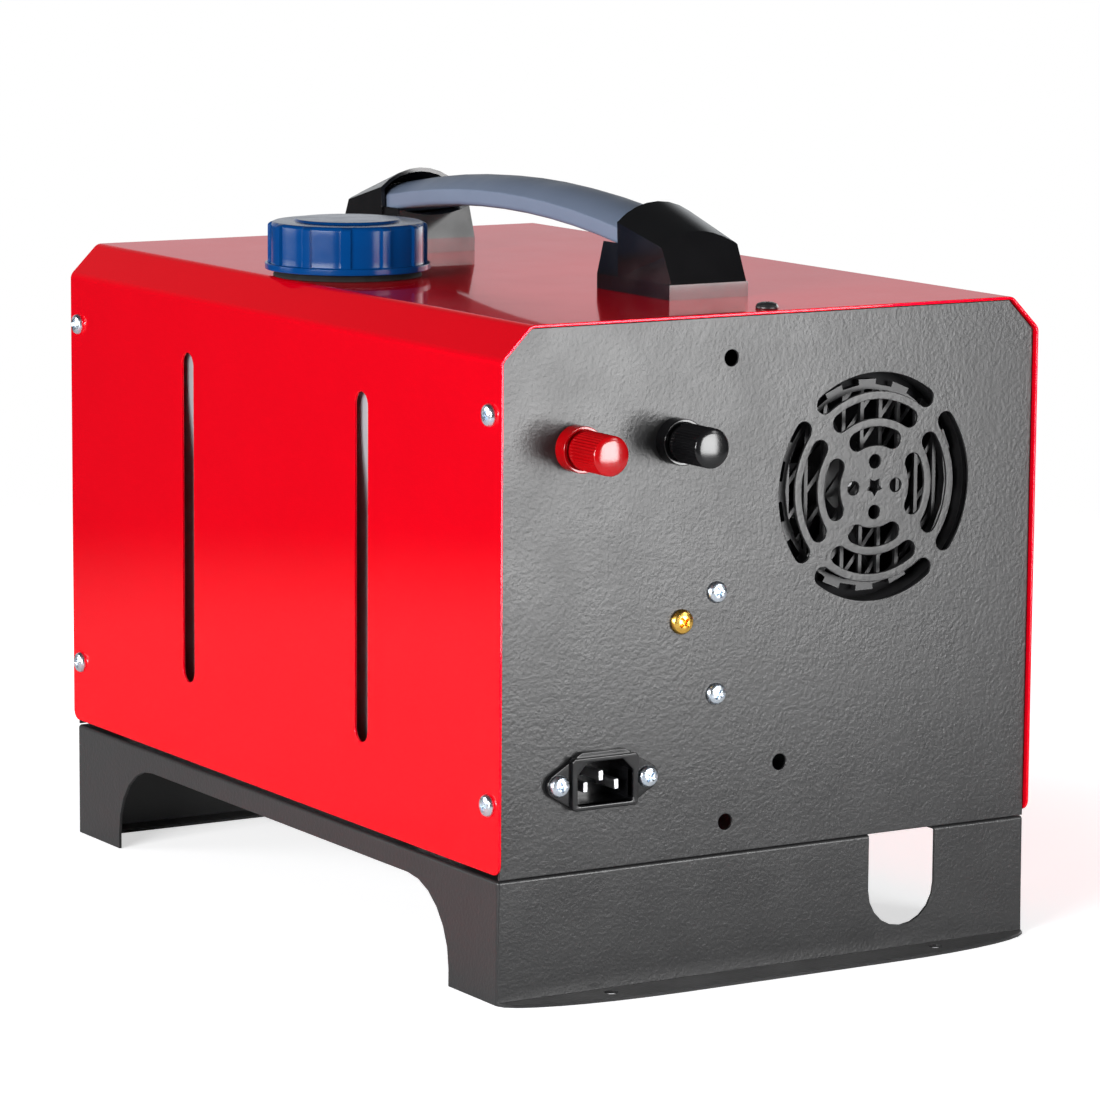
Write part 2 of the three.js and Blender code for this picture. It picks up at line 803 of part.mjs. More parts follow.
function rearPanel() {
  const left = -half_width;
  const body_x = inlet_body_width / 2 + seat_gap;
  const body_z = inlet_body_height / 2 + seat_gap;
  const holes = [
    ...grilleHoles(),
    ...post_places.map(([, x]) => circle(x, post_z, post_bush_radius + seat_gap, small_sides)),
    rectangle(inlet_x, inlet_height, body_x, body_z),
    ...[-1, 1].map((side) => (
      circle(inlet_x + (side * inlet_screw_spacing) / 2, inlet_height, rear_screw_hole, tiny_sides))),
    circle(left + rear_screw_left, rear_screw_upper, rear_screw_hole, tiny_sides),
    circle(left + rear_screw_left, rear_screw_lower, rear_screw_hole, tiny_sides),
    circle(left + brass_screw_left, brass_screw_height, rear_screw_hole, tiny_sides),
    circle(left + vent_hole_high_left, vent_hole_high, vent_hole_radius, tiny_sides),
    circle(left + vent_hole_mid_left, vent_hole_mid, vent_hole_radius, tiny_sides),
    circle(left + vent_hole_low_left, vent_hole_low, vent_hole_radius, tiny_sides),
  ];
  return endPanel(rear_face, 1, holes);
}

function frontPanel() {
  const [w, h] = [panel_window_width / 2, panel_window_height / 2];
  const holes = [
    circle(core_x, core_z, duct_radius + duct_wall + seat_gap, fine_sides),
    rectangle(controller_x, controller_z, w, h),
  ];
  return endPanel(front_face, -1, holes);
}

// Mains inlet: a flange with two ears, a raised bezel and a recess with two cut corners
function acInlet() {
  const ear = inlet_ear_width / 2;
  const [bw, bh] = [inlet_bezel_width / 2, inlet_bezel_height / 2];
  const fh = inlet_flange_height / 2;
  const ear_radius = (inlet_ear_width - inlet_screw_spacing) / 2;
  const third = Math.PI / 3;
  const flange = new THREE.Shape([
    ...arc(ear - ear_radius, 0, ear_radius, -third, third, 5),
    new THREE.Vector2(bw - ear_radius, fh),
    new THREE.Vector2(-bw + ear_radius, fh),
    ...arc(-ear + ear_radius, 0, ear_radius, 2 * third, 4 * third, 5),
    new THREE.Vector2(-bw + ear_radius, -fh), new THREE.Vector2(bw - ear_radius, -fh),
  ]);
  for (const side of [-1, 1]) {
    const hole = circle((side * inlet_screw_spacing) / 2, 0, rear_screw_hole, tiny_sides);
    flange.holes.push(new THREE.Path(hole));
  }
  const [w, h, c] = [inlet_mouth_width / 2, inlet_mouth_height / 2, inlet_mouth_cut];
  const mouth = outline([[-w, -h], [w, -h], [w, h - c], [w - c, h], [-w + c, h], [-w, h - c]]);
  const front = -inlet_flange_thickness - inlet_bezel_reach;
  const floor = front + inlet_mouth_depth;
  const back = floor + inlet_back_wall;
  const bezel = new THREE.Shape(roundedBox(-bw, bw, -bh, bh, overrun));
  const [iw, ih] = [inlet_body_width / 2, inlet_body_height / 2];
  const body = join(
    prismY(flange, -inlet_flange_thickness, 0),
    prismY(bezel, front, -inlet_flange_thickness / 2),
    block(-iw, iw, -inlet_flange_thickness / 2, back, -ih, ih),
  );
  const [sx, sz] = [blade_width / 2 + seat_gap, blade_height / 2 + seat_gap];
  const slots = blade_places.map(([, x, z]) => (
    block(x - sx, x + sx, floor - overrun, back + overrun, z - sz, z + sz)));
  const hollowed = cut(body, prismY(mouth, front - overrun, floor), ...slots);
  return hollowed.translate(inlet_x, rear_face, inlet_height);
}

const blade_places = [
  ['line', -blade_spacing / 2, -blade_earth_rise / 2],
  ['neutral', blade_spacing / 2, -blade_earth_rise / 2],
  ['earth', 0, blade_earth_rise / 2],
];

function addBlades() {
  const front = -inlet_flange_thickness - inlet_bezel_reach;
  const back = front + inlet_mouth_depth + inlet_back_wall + blade_tab;
  for (const [name, x, z] of blade_places) {
    const blade = block(x - blade_width / 2, x + blade_width / 2, front + blade_setback, back,
      z - blade_height / 2, z + blade_height / 2);
    add(`ac_blade_${name}`, blade.translate(inlet_x, rear_face, inlet_height), 'brass');
  }
}

// Battery post: a collar through the panel with its stud, a washer and a fluted knob
function postCollar() {
  const r = post_collar_radius;
  const l = post_collar_length;
  const stud = post_collar_length + post_reach / 2;
  return turned([
    [0, -post_back_length], [post_stud_radius, -post_back_length], [post_stud_radius, -sheet - overrun],
    [post_bush_radius, -sheet - overrun], [post_bush_radius, 0], [r, 0], [r, l], [r - post_rim, l],
    [r - post_rim, l - post_rim / 2], [post_stud_radius, l - post_rim / 2], [post_stud_radius, stud],
    [0, stud],
  ], knob_sides);
}

function postWasher() {
  const base = post_collar_length - post_rim / 2 + seat_gap;
  return turned([
    [post_stud_radius + run_gap, base], [post_washer_radius, base],
    [post_washer_radius, base + post_washer_thickness + post_rim / 2],
    [post_stud_radius + run_gap, base + post_washer_thickness + post_rim / 2],
  ]);
}

function postKnob() {
  const base = post_reach - knob_length;
  const bore = post_stud_radius + run_gap;
  const bore_end = post_collar_length + post_reach / 2 + seat_gap;
  const fluted = Array.from({ length: 2 * knob_flutes }, (_, i) => {
    const radius = i % 2 === 0 ? knob_radius : knob_radius - flute_depth;
    const angle = (i * Math.PI) / knob_flutes;
    return new THREE.Vector2(radius * Math.cos(angle), radius * Math.sin(angle));
  });
  const length = knob_length - knob_dome;
  const grip = new THREE.ExtrudeGeometry(new THREE.Shape(fluted), { depth: length, bevelEnabled: false });
  const root = knob_radius - flute_depth;
  const crown = turned([[0, 0], [root, 0],
    ...knob_crown_shares.map(([across, up]) => [across * root, up * knob_dome]), [0, knob_dome]]);
  const body = join(grip.rotateX(-Math.PI / 2), crown.translate(0, length, 0)).translate(0, base, 0);
  return cut(body, rodY(bore, base - overrun, bore_end, 0, 0, small_sides));
}

function addPosts() {
  const looks = { positive: 'red_plastic', negative: 'black_plastic' };
  for (const [name, x] of post_places) {
    const put = (piece) => piece.rotateZ(Math.PI).translate(x, rear_face, post_z);
    add(`post_collar_${name}`, put(postCollar()), looks[name]);
    add(`post_washer_${name}`, put(postWasher()), looks[name]);
    add(`post_knob_${name}`, put(postKnob()), looks[name]);
  }
}

// Handle: an arched grip held at each end by a hooded foot
function gripSection(growth) {
  const half = grip_width / 2 + growth;
  const r = grip_edge_radius + growth;
  const quarter = Math.PI / 2;
  const crown_rise = grip_thickness - grip_side_height;
  const crown_radius = (half * half + crown_rise * crown_rise) / (2 * crown_rise);
  const turn = Math.asin(half / crown_radius);
  const top = grip_thickness / 2 + growth;
  return [
    ...arc(-half + r, -top + r, r, 2 * quarter, 3 * quarter, 2),
    ...arc(half - r, -top + r, r, -quarter, 0, 2),
    ...arc(0, top - crown_radius, crown_radius, quarter - turn, quarter + turn, 8),
  ];
}

function gripBar(growth) {
  const reach = half_length - hood_mouth_from_end + grip_insert + growth;
  const steps = 12;
  const section = gripSection(growth);
  const middle = grip_radius - grip_thickness / 2;
  const centre_z = cover_top + grip_top - grip_radius;
  return loft(Array.from({ length: steps + 1 }, (_, i) => {
    const lean = Math.asin((-reach + (2 * reach * i) / steps) / middle);
    return section.map((p) => new THREE.Vector3(p.x, (middle + p.y) * Math.sin(lean),
      centre_z + (middle + p.y) * Math.cos(lean)));
  }));
}

// Cross-section of the hood at a distance from the cover's end: straight sides under a round crown
function hoodRing(from_end, inset, low) {
  const share = (from_end - foot_from_end) / (hood_mouth_from_end - foot_from_end);
  const half = THREE.MathUtils.lerp(hood_outer_width, hood_width, share) / 2;
  const shoulder = THREE.MathUtils.lerp(hood_outer_shoulder, hood_shoulder, share);
  const crest = THREE.MathUtils.lerp(hood_outer_crest, hood_crest, share);
  const rise = crest - shoulder;
  const radius = (half * half + rise * rise) / (2 * rise);
  const turn = Math.asin((half - inset) / (radius - inset));
  const quarter = Math.PI / 2;
  const foot_half = Math.min(foot_width / 2, half) - inset;
  const points = [
    new THREE.Vector2(foot_half - overrun, low - overrun), new THREE.Vector2(foot_half, low),
    ...arc(0, crest - radius, radius - inset, quarter - turn, quarter + turn, 8),
    new THREE.Vector2(-foot_half, low), new THREE.Vector2(-foot_half + overrun, low - overrun),
  ];
  return points.map((p) => new THREE.Vector3(p.x, from_end - half_length, cover_top + p.y));
}

function handleFoot() {
  const outer_y = -half_length + foot_from_end;
  const inner_y = outer_y + foot_length;
  const mouth_y = -half_length + hood_mouth_from_end;
  const [half, top_half] = [foot_width / 2, foot_block_top_width / 2];
  const [band, high] = [cover_top + foot_band, cover_top + foot_block_height];
  const base = block(-half, half, outer_y, inner_y, cover_top, band);
  const taper = outline([[-half + overrun, band - overrun], [half - overrun, band - overrun], [half, band],
    [top_half, high], [-top_half, high], [-half, band]]);
  const side = outline([[mouth_y - overrun, band - overrun], [inner_y, band - overrun], [inner_y, band],
    [inner_y - foot_inner_lean, high], [mouth_y - overrun, high]]);
  const front = common(prismY(taper, mouth_y - overrun, inner_y), prismX(side, -half, half));
  const hood = loft([hoodRing(foot_from_end, 0, foot_band), hoodRing(hood_mouth_from_end, 0, foot_band)]);
  const hollow_floor = foot_block_height - saddle_sag;
  const hollow = loft([
    hoodRing(hood_mouth_from_end - grip_insert - overrun, hood_wall, hollow_floor),
    hoodRing(hood_mouth_from_end + overrun, hood_wall, hollow_floor),
  ]);
  const slope_rise = foot_block_height + hood_crest;
  const slope = outline([[outer_y - overrun, band], [outer_y, band],
    [outer_y + foot_end_lean * slope_rise, band + slope_rise], [outer_y - overrun, band + slope_rise]]);
  const saddle_radius = (top_half * top_half + saddle_sag * saddle_sag) / (2 * saddle_sag);
  const saddle_z = high - saddle_sag + saddle_radius;
  const saddle = rodY(saddle_radius, mouth_y, inner_y + overrun, 0, saddle_z, saddle_sides);
  const end_cut = prismX(slope, -half_width, half_width);
  return cut(join(base, front, hood), hollow, end_cut, saddle, gripBar(seat_gap));
}

// Fuel tank: a moulded can with rounded edges, its filler neck standing through the cover
const tank_left = -inner_half + tank_side_gap;
const tank_right = core_left - tank_core_gap;
const tank_y0 = -half_length + tank_rear;
const tank_y1 = front_inside - panel_lip - tank_end_gap;
const tank_bottom = stand_height;
const tank_top = cover_top - tank_top_gap;

function tankCan(wall) {
  const bevel = tank_edge_round;
  const shape = new THREE.Shape(roundedBox(tank_left + wall + bevel, tank_right - wall - bevel,
    tank_y0 + wall + bevel, tank_y1 - wall - bevel, tank_corner - bevel, 3));
  const can = new THREE.ExtrudeGeometry(shape, { depth: tank_top - tank_bottom - 2 * wall - 2 * bevel,
    bevelThickness: bevel, bevelSize: bevel, bevelSegments: 2 });
  return can.translate(0, 0, tank_bottom + wall + bevel);
}

function fuelTank() {
  const neck_top = cover_top + neck_rise;
  const neck = rodZ(neck_radius, tank_top - tank_wall, neck_top, filler_x, filler_y, fine_sides);
  const bore = rodZ(neck_radius - neck_wall, tank_top - 2 * tank_wall, neck_top + overrun,
    filler_x, filler_y, fine_sides);
  const tap = rodX(nipple_radius + seat_gap, tank_right - 2 * tank_wall, tank_right + overrun,
    tap_y, feed_z, tiny_sides);
  return cut(join(tankCan(0), neck), tankCan(tank_wall), bore, tap);
}

// Fuel cap: a flanged cup with twelve grip ribs and a raised disc on top
function fuelCap() {
  const body = cap_body_radius;
  const h = cap_height;
  const shell = turnedZ([
    [0, 0], [cap_flange_radius, 0], [cap_flange_radius, (1 - edge_share) * cap_flange_height],
    [cap_flange_radius - edge_share * cap_flange_height, cap_flange_height], [body, cap_flange_height],
    [body, h - cap_shoulder], [body - edge_share * cap_shoulder, h - edge_share * cap_shoulder],
    [body - cap_shoulder, h], [cap_disc_radius, h], [cap_disc_radius - cap_disc_rise, h + cap_disc_rise],
    [0, h + cap_disc_rise],
  ], 0, 0, 0, fine_sides);
  const ribs = Array.from({ length: cap_rib_count }, (_, i) => {
    const rib = block(body - overrun, body + cap_rib_reach, -cap_rib_width / 2, cap_rib_width / 2,
      cap_flange_height / 2, h - cap_shoulder);
    return rib.rotateZ((i * 2 * Math.PI) / cap_rib_count);
  });
  const hollow = rodZ(neck_radius + cap_thread_gap, -overrun, h - cap_roof, 0, 0, fine_sides);
  return cut(join(shell, ...ribs), hollow).translate(filler_x, filler_y, cap_bottom);
}

function capSeal() {
  const outer = neck_radius;
  const inner = neck_radius - seal_width;
  const base = cover_top + neck_rise + seat_gap;
  const top = Math.min(base + seal_thickness, cap_bottom + cap_height - cap_roof - seat_gap);
  const ring = [[inner, 0], [outer, 0], [outer, top - base], [inner, top - base]];
  return turnedZ(ring, filler_x, filler_y, base, fine_sides);
}

// Heater core: rings of its shell, a rounded box that closes to a round nose
function coreRing(y, inset) {
  const box = roundedBox(-core_width / 2 + inset, core_width / 2 - inset, -core_height / 2 + inset,
    core_height / 2 - inset, core_corner - inset, 4);
  const fine = subdivided(box, core_corner * ring_step_share);
  return fine.map((p) => new THREE.Vector3(core_x + p.x, y, core_z + p.y));
}

function noseRing(y, inset) {
  const box = coreRing(y, inset);
  return box.map((p) => {
    const angle = Math.atan2(p.z - core_z, p.x - core_x);
    const radius = nose_radius - inset;
    return new THREE.Vector3(core_x + radius * Math.cos(angle), y, core_z + radius * Math.sin(angle));
  });
}

function coreSkin(inset, stretch) {
  return loft([
    coreRing(shell_rear - stretch, inset), coreRing(nose_start, inset),
    noseRing(nose_start + nose_length, inset), noseRing(shell_front + stretch, inset),
  ]);
}

function coreShell(side) {
  const skin = cut(coreSkin(0, 0), coreSkin(core_wall, overrun));
  const x = core_width / 2 + overrun;
  const reach = [side * (seat_gap / 2), side * core_height].sort((a, b) => a - b);
  const [z0, z1] = reach.map((z) => core_z + z);
  return common(skin, block(core_x - x, core_x + x, shell_rear - overrun, shell_front + overrun, z0, z1));
}

function lowerShell() {
  const half = exchanger_flange_width / 2 + seat_gap;
  const reach = exchanger_flange_length / 2 + seat_gap;
  const y = exchangerFlangeY();
  return cut(coreShell(-1), block(core_x - half, core_x + half, y - reach, y + reach,
    core_bottom - overrun, core_bottom + 2 * core_wall));
}

function upperShell() {
  const plug = rodZ(glow_plug_hex + seat_gap, core_z, cover_top, core_x, plug_y, small_sides);
  return cut(coreShell(1), plug);
}

// Stations along the core, from the intake end
const fan_rear = shell_rear + air_gap;
const motor_rear = fan_rear + fan_depth + air_gap;
const blower_rear = motor_rear + motor_length + seat_gap;
const exchanger_rear = blower_rear + blower_depth + seat_gap;
const exchanger_front = nose_start - exchanger_front_gap;
const plug_y = exchanger_rear + glow_plug_hex + overrun;

function heatExchanger() {
  const root = exchanger_radius;
  const tip = exchanger_radius + exchanger_fin_height;
  const points = [];
  for (let i = 0; i < exchanger_fins; i += 1) {
    const middle = (i * 2 * Math.PI) / exchanger_fins;
    const root_turn = exchanger_fin_thickness / 2 / root;
    const tip_turn = exchanger_fin_thickness / 3 / tip;
    for (const [radius, turn] of [[root, -root_turn], [tip, -tip_turn], [tip, tip_turn], [root, root_turn]]) {
      const angle = middle + turn;
      points.push(new THREE.Vector2(core_x + radius * Math.cos(angle), core_z + radius * Math.sin(angle)));
    }
  }
  const collar_length = 2 * (glow_plug_hex + overrun);
  const finned = prismY(new THREE.Shape(points), exchanger_rear + collar_length, exchanger_front);
  const core = rodY(root, exchanger_rear, exchanger_front, core_x, core_z);
  const y = exchangerFlangeY();
  const [half, reach] = [exchanger_flange_width / 2, exchanger_flange_length / 2];
  const neck = block(core_x - half / 2, core_x + half / 2, y - reach, y + reach, gasket_top, core_z);
  const flange_top = gasket_top + core_wall + exchanger_flange_drop;
  const flange = block(core_x - half, core_x + half, y - reach, y + reach, gasket_top, flange_top);
  const stub_end = gasket_top - stub_length;
  const stubs = stub_places.map(([, stub_y]) => (
    rodZ(stub_radius, stub_end, gasket_top + overrun, core_x, stub_y, small_sides)));
  const bores = stub_places.map(([, stub_y]) => (
    rodZ(stub_radius - stub_wall, stub_end - overrun, gasket_top + overrun, core_x, stub_y, small_sides)));
  const fuel_stub = rodZ(fuel_stub_radius, gasket_top - fuel_stub_length, gasket_top + overrun,
    core_x - fuel_stub_offset, y + reach - 2 * stub_radius, tiny_sides);
  const fire_end = exchanger_front - exchanger_end_wall;
  const fire = rodY(exchanger_bore, exchanger_rear - overrun, fire_end, core_x, core_z);
  return cut(join(finned, core, neck, flange, ...stubs, fuel_stub), ...bores, fire, plugHole());
}

// The hole that the glow plug's body passes through
function plugHole() {
  return rodZ(glow_plug_radius + seat_gap, core_z, core_z + core_height, core_x, plug_y, small_sides);
}

function burnerTube() {
  const length = (exchanger_front - exchanger_rear) * burner_length_share;
  const outer = exchanger_bore - seat_gap;
  const tube = turned([
    [outer - 2 * burner_rim, 0], [outer, 0], [outer, burner_rim], [outer - burner_rim, burner_rim],
    [outer - burner_rim, length], [outer - burner_rim - burner_wall, length],
    [outer - burner_rim - burner_wall, burner_rim], [outer - 2 * burner_rim, burner_rim],
  ]).translate(core_x, exchanger_rear, core_z);
  return cut(tube, plugHole());
}

function glowPlug() {
  const seat = exchanger_radius + seat_gap;
  const tip = exchanger_bore - 2 * burner_rim - burner_wall - overrun;
  const z = core_z + seat;
  const hex = rodZ(glow_plug_hex, z, z + overrun, core_x, plug_y, hex_sides);
  const body = rodZ(glow_plug_radius, z - glow_plug_body, z + overrun / 2, core_x, plug_y, small_sides);
  const pencil = rodZ(glow_plug_tip_radius, core_z + tip, z + glow_plug_hex + overrun,
    core_x, plug_y, tiny_sides);
  return join(hex, body, pencil);
}

function flangeGasket() {
  const [half, reach] = [exchanger_flange_width / 2, exchanger_flange_length / 2];
  const y = exchangerFlangeY();
  const shape = outline([[core_x - half, y - reach], [core_x + half, y - reach], [core_x + half, y + reach],
    [core_x - half, y + reach]]);
  for (const [, stub_y] of stub_places) {
    shape.holes.push(new THREE.Path(circle(core_x, stub_y, stub_radius + seat_gap, small_sides)));
  }
  shape.holes.push(new THREE.Path(circle(core_x - fuel_stub_offset, y + reach - 2 * stub_radius,
    fuel_stub_radius + seat_gap, tiny_sides)));
  return prismZ(shape, bracket_top, gasket_top);
}

// Bracket: a sheet table under the core, its legs turned out on the stand and open for the fuel feed
function heaterBracket() {
  const y = exchangerFlangeY();
  const [half, reach] = [bracket_width / 2, bracket_length / 2];
  const t = bracket_sheet;
  const [x0, x1] = [core_x - half, core_x + half];
  const profile = outline([
    [x0 - bracket_foot, stand_height], [x0, stand_height], [x0, bracket_top - t], [x1, bracket_top - t],
    [x1, stand_height], [x1 + bracket_foot, stand_height], [x1 + bracket_foot, stand_height + t],
    [x1 + t, stand_height + t], [x1 + t, bracket_top], [x0 - t, bracket_top], [x0 - t, stand_height + t],
    [x0 - bracket_foot, stand_height + t],
  ]);
  const side_reach = reach - bracket_opening_side;
  const [z0, z1] = [stand_height + bracket_opening_foot, bracket_top - bracket_opening_top];
  const opening_round = Math.min(bracket_opening_round, round_limit_share * (z1 - z0));
  const opening = new THREE.Shape(roundedBox(y - side_reach, y + side_reach, z0, z1, opening_round));
  const stub_holes = stub_places.map(([, stub_y]) => rodZ(stub_radius + seat_gap, bracket_top - 2 * t,
    bracket_top + overrun, core_x, stub_y, small_sides));
  const fuel_hole = rodZ(fuel_stub_radius + seat_gap, bracket_top - 2 * t, bracket_top + overrun,
    core_x - fuel_stub_offset, y + exchanger_flange_length / 2 - 2 * stub_radius, tiny_sides);
  const side_opening = prismX(opening, -half_width, half_width);
  return cut(prismY(profile, y - reach, y + reach), side_opening, ...stub_holes, fuel_hole);
}

// Rotor: shaft, hot-air fan and combustion impeller turn as one
function hotAirFan() {
  const hub = turned([
    [shaft_radius + seat_gap, 0], [hub_nose_radius_share * fan_hub_radius, 0],
    [fan_hub_radius, hub_nose_length_share * fan_depth], [fan_hub_radius, fan_depth],
    [shaft_radius + seat_gap, fan_depth],
  ], small_sides);
  const blades = Array.from({ length: fan_blades }, (_, i) => {
    const reach = fan_radius - fan_hub_radius + overrun;
    const blade = new THREE.BoxGeometry(reach, fan_depth, fan_blade_thickness);
    blade.rotateX(toRadians(fan_blade_pitch_deg));
    blade.translate(fan_hub_radius - overrun + reach / 2, fan_depth / 2, 0);
    return blade.rotateY((i * 2 * Math.PI) / fan_blades);
  });
  const slab = rodY(fan_radius, 0, fan_depth, 0, 0);
  const bore = rodY(shaft_radius + seat_gap, -overrun, fan_depth + overrun, 0, 0, small_sides);
  return common(join(hub, ...blades), cut(slab, bore)).translate(core_x, fan_rear, core_z);
}

function combustionFan() {
  const base = blower_rear + blower_wall + 2 * seat_gap;
  const plate = turned([
    [shaft_radius + seat_gap, 0], [impeller_radius, 0], [impeller_radius, impeller_plate],
    [2 * shaft_radius, impeller_plate], [2 * shaft_radius, impeller_vane_height],
    [shaft_radius + seat_gap, impeller_vane_height],
  ]);
  const vanes = Array.from({ length: impeller_vanes }, (_, i) => {
    const reach = impeller_radius - 3 * shaft_radius;
    const height = impeller_vane_height - impeller_plate / 2;
    const vane = new THREE.BoxGeometry(reach, height, impeller_vane_thickness);
    vane.translate(3 * shaft_radius + (reach - overrun) / 2, impeller_vane_height - height / 2, 0);
    return vane.rotateY((i * 2 * Math.PI) / impeller_vanes);
  });
  return join(plate, ...vanes).translate(core_x, base, core_z);
}

function rotorShaft() {
  const end = blower_rear + blower_wall + 2 * seat_gap + impeller_vane_height;
  return rodY(shaft_radius, fan_rear, end, core_x, core_z, small_sides);
}

function motorCan() {
  const r = motor_radius;
  const l = motor_length;
  return turned([
    [shaft_radius + run_gap, 0], [motor_boss_share * r, 0], [motor_boss_share * r, motor_plate],
    [motor_face_share * r, motor_plate], [r, 2 * motor_plate], [r, l - motor_plate],
    [r + motor_plate, l - motor_plate], [r + motor_plate, l], [shaft_radius + run_gap, l],
  ]).translate(core_x, motor_rear, core_z);
}

function blowerHousing() {
  const [r, w, d] = [blower_radius, blower_wall, blower_depth];
  return turned([
    [shaft_radius + run_gap, 0], [r, 0], [r, d], [exchanger_bore, d], [exchanger_bore, d - w], [r - w, d - w],
    [r - w, w], [shaft_radius + run_gap, w],
  ]).translate(core_x, blower_rear, core_z);
}

// Intake guard: a square flange with a round duct, a toothed ring and a lattice across it
function intakeGuard() {
  const [half_w, half_h] = [core_width / 2, core_height / 2];
  const flange = new THREE.Shape(roundedBox(-half_w, half_w, -half_h, half_h, core_corner));
  flange.holes.push(new THREE.Path(circle(0, 0, guard_bore_radius, fine_sides)));
  const plate = prismY(flange, guard_depth - guard_wall, guard_depth);
  const duct_end = guard_depth - guard_wall / 2;
  const duct_outer = guard_bore_radius + guard_wall;
  const duct = turned([[guard_bore_radius, 0], [duct_outer, 0], [duct_outer, duct_end],
    [guard_bore_radius, duct_end]], fine_sides);
  const teeth = [];
  for (let i = 0; i < guard_tooth_count; i += 1) {
    const middle = (i * 2 * Math.PI) / guard_tooth_count;
    const half = Math.PI / (2 * guard_tooth_count);
    teeth.push(...arc(0, 0, guard_ring_radius + guard_tooth_height, middle - half, middle + half, 1),
      ...arc(0, 0, guard_ring_radius, middle + half, middle + 3 * half, 1));
  }
  const crown = new THREE.Shape(teeth);
  crown.holes.push(new THREE.Path(circle(0, 0, guard_ring_radius - guard_ring_width, fine_sides)));
  const ring = prismY(crown, guard_wall, 3 * guard_wall);
  const lattice = [
    ...latticeBars(guard_bar_pitch, 0, 3 * guard_wall),
    ...latticeBars(guard_brace_pitch, toRadians(90 - guard_brace_angle_deg), 4 * guard_wall),
  ];
  return join(plate, duct, ring, ...lattice).translate(core_x, guard_rear, core_z);
}

// Parallel bars that span the guard's duct in one layer and end inside its wall
function latticeBars(pitch, turn, depth) {
  const radius = guard_bore_radius + bar_sink_share * guard_wall;
  const steps = Math.floor(guard_bore_radius / pitch);
  return Array.from({ length: 2 * steps + 1 }, (_, i) => {
    const shift = (i - steps) * pitch;
    const reach = Math.sqrt(radius * radius - shift * shift);
    return new THREE.BoxGeometry(guard_bar, guard_bar, 2 * reach).translate(shift, depth, 0).rotateY(turn);
  });
}

function controlUnit() {
  const top = core_z + core_height / 2 - core_wall - seat_gap;
  const y = motor_rear + motor_length / 2;
  const half = core_width / 2 - core_corner;
  const box = new THREE.Shape(roundedBox(core_x - half, core_x + half,
    y - control_length / 2, y + control_length / 2, overrun, 2));
  return prismZ(box, top - control_height, top);
}

// Hot-air outlet: a flanged spout on the front panel with a turning louvre in its mouth
function outletCollar() {
  const reach = post_reach;
  const spigot = nose_radius - core_wall - 3 * seat_gap;
  const back = shell_front - nose_spigot - front_face;
  return turned([
    [duct_radius - duct_wall, back], [spigot, back], [spigot, 0], [outlet_flange_radius, 0],
    [outlet_flange_radius, (1 - edge_share) * outlet_flange_thickness],
    [outlet_flange_radius - edge_share * outlet_flange_thickness, outlet_flange_thickness],
    [duct_radius, outlet_flange_thickness], [duct_radius, reach], [duct_radius - duct_wall, reach],
  ], fine_sides).translate(core_x, front_face, core_z);
}

function outletLouvre() {
  const outer = duct_radius - duct_wall - run_gap;
  const inner = outer - louvre_wall;
  const ring = turned([[inner, 0], [outer, 0], [outer, louvre_depth], [inner, louvre_depth]], fine_sides);
  const pitch = (2 * inner) / (louvre_blades + 1);
  const blades = Array.from({ length: louvre_blades }, (_, i) => {
    const blade = new THREE.BoxGeometry(2 * outer, louvre_depth, louvre_blade_thickness);
    const height = (i - (louvre_blades - 1) / 2) * pitch;
    return blade.rotateX(toRadians(louvre_tilt_deg)).translate(0, louvre_depth / 2, height);
  });
  const slab = rodY(outer - louvre_wall / 2, 0, louvre_depth, 0, 0, fine_sides);
  const louvre = join(ring, common(join(...blades), slab));
  return louvre.translate(core_x, front_face + post_reach - louvre_depth, core_z);
}

// Fuel feed: tap, hose, filter, pump and line, all on one level over the stand
const tap_y = exchangerFlangeY() - bracket_length / 2 + bracket_opening_side + tap_window_gap;
const filter_y0 = tap_y + feed_bend + 3 * hose_radius;
const filter_y1 = filter_y0 + filter_length;
const pump_y0 = filter_y1 + 2 * nipple_length + pump_gap;
const pump_y1 = pump_y0 + pump_length;

function tankTap() {
  const x = tank_right + seat_gap;
  const end = x + tap_hex_length + nipple_length;
  return join(
    rodX(nipple_radius, tank_right - tank_wall, end, tap_y, feed_z, tiny_sides),
    rodX(tap_hex_radius, x, x + tap_hex_length, tap_y, feed_z, hex_sides),
  );
}

// A flexible line through points, round and closed at both ends
function hose(points, radius) {
  const curve = new THREE.CatmullRomCurve3(points, false, 'centripetal');
  const steps = Math.max(6, Math.round(curve.getLength() / (3 * radius)));
  const shape = new THREE.Shape(circle(0, 0, radius, tiny_sides));
  return new THREE.ExtrudeGeometry(shape, { steps, extrudePath: curve, bevelEnabled: false });
}

function tankHose() {
  const start = tank_right + 2 * seat_gap + tap_hex_length + nipple_length;
  const end = filter_y0 - nipple_length - seat_gap;
  const r = (feed_x - start) / 2;
  return hose([
    new THREE.Vector3(start, tap_y, feed_z), new THREE.Vector3(start + r, tap_y, feed_z),
    new THREE.Vector3(feed_x, tap_y + r / 2, feed_z), new THREE.Vector3(feed_x, end, feed_z),
  ], hose_radius);
}

function fuelFilter() {
  const r = filter_radius;
  const n = nipple_radius;
  const l = filter_length;
  const end = filter_end_share * r;
  const band = filter_band_share * r;
  const [from, to] = [filter_band_from_share * l, filter_band_to_share * l];
  return turned([
    [0, -nipple_length], [n, -nipple_length], [n, 0], [end, 0], [r, r - end], [r, from], [band, from],
    [band, to], [r, to], [r, l - r + end], [end, l], [n, l], [n, l + nipple_length], [0, l + nipple_length],
  ], small_sides).translate(feed_x, filter_y0, feed_z);
}

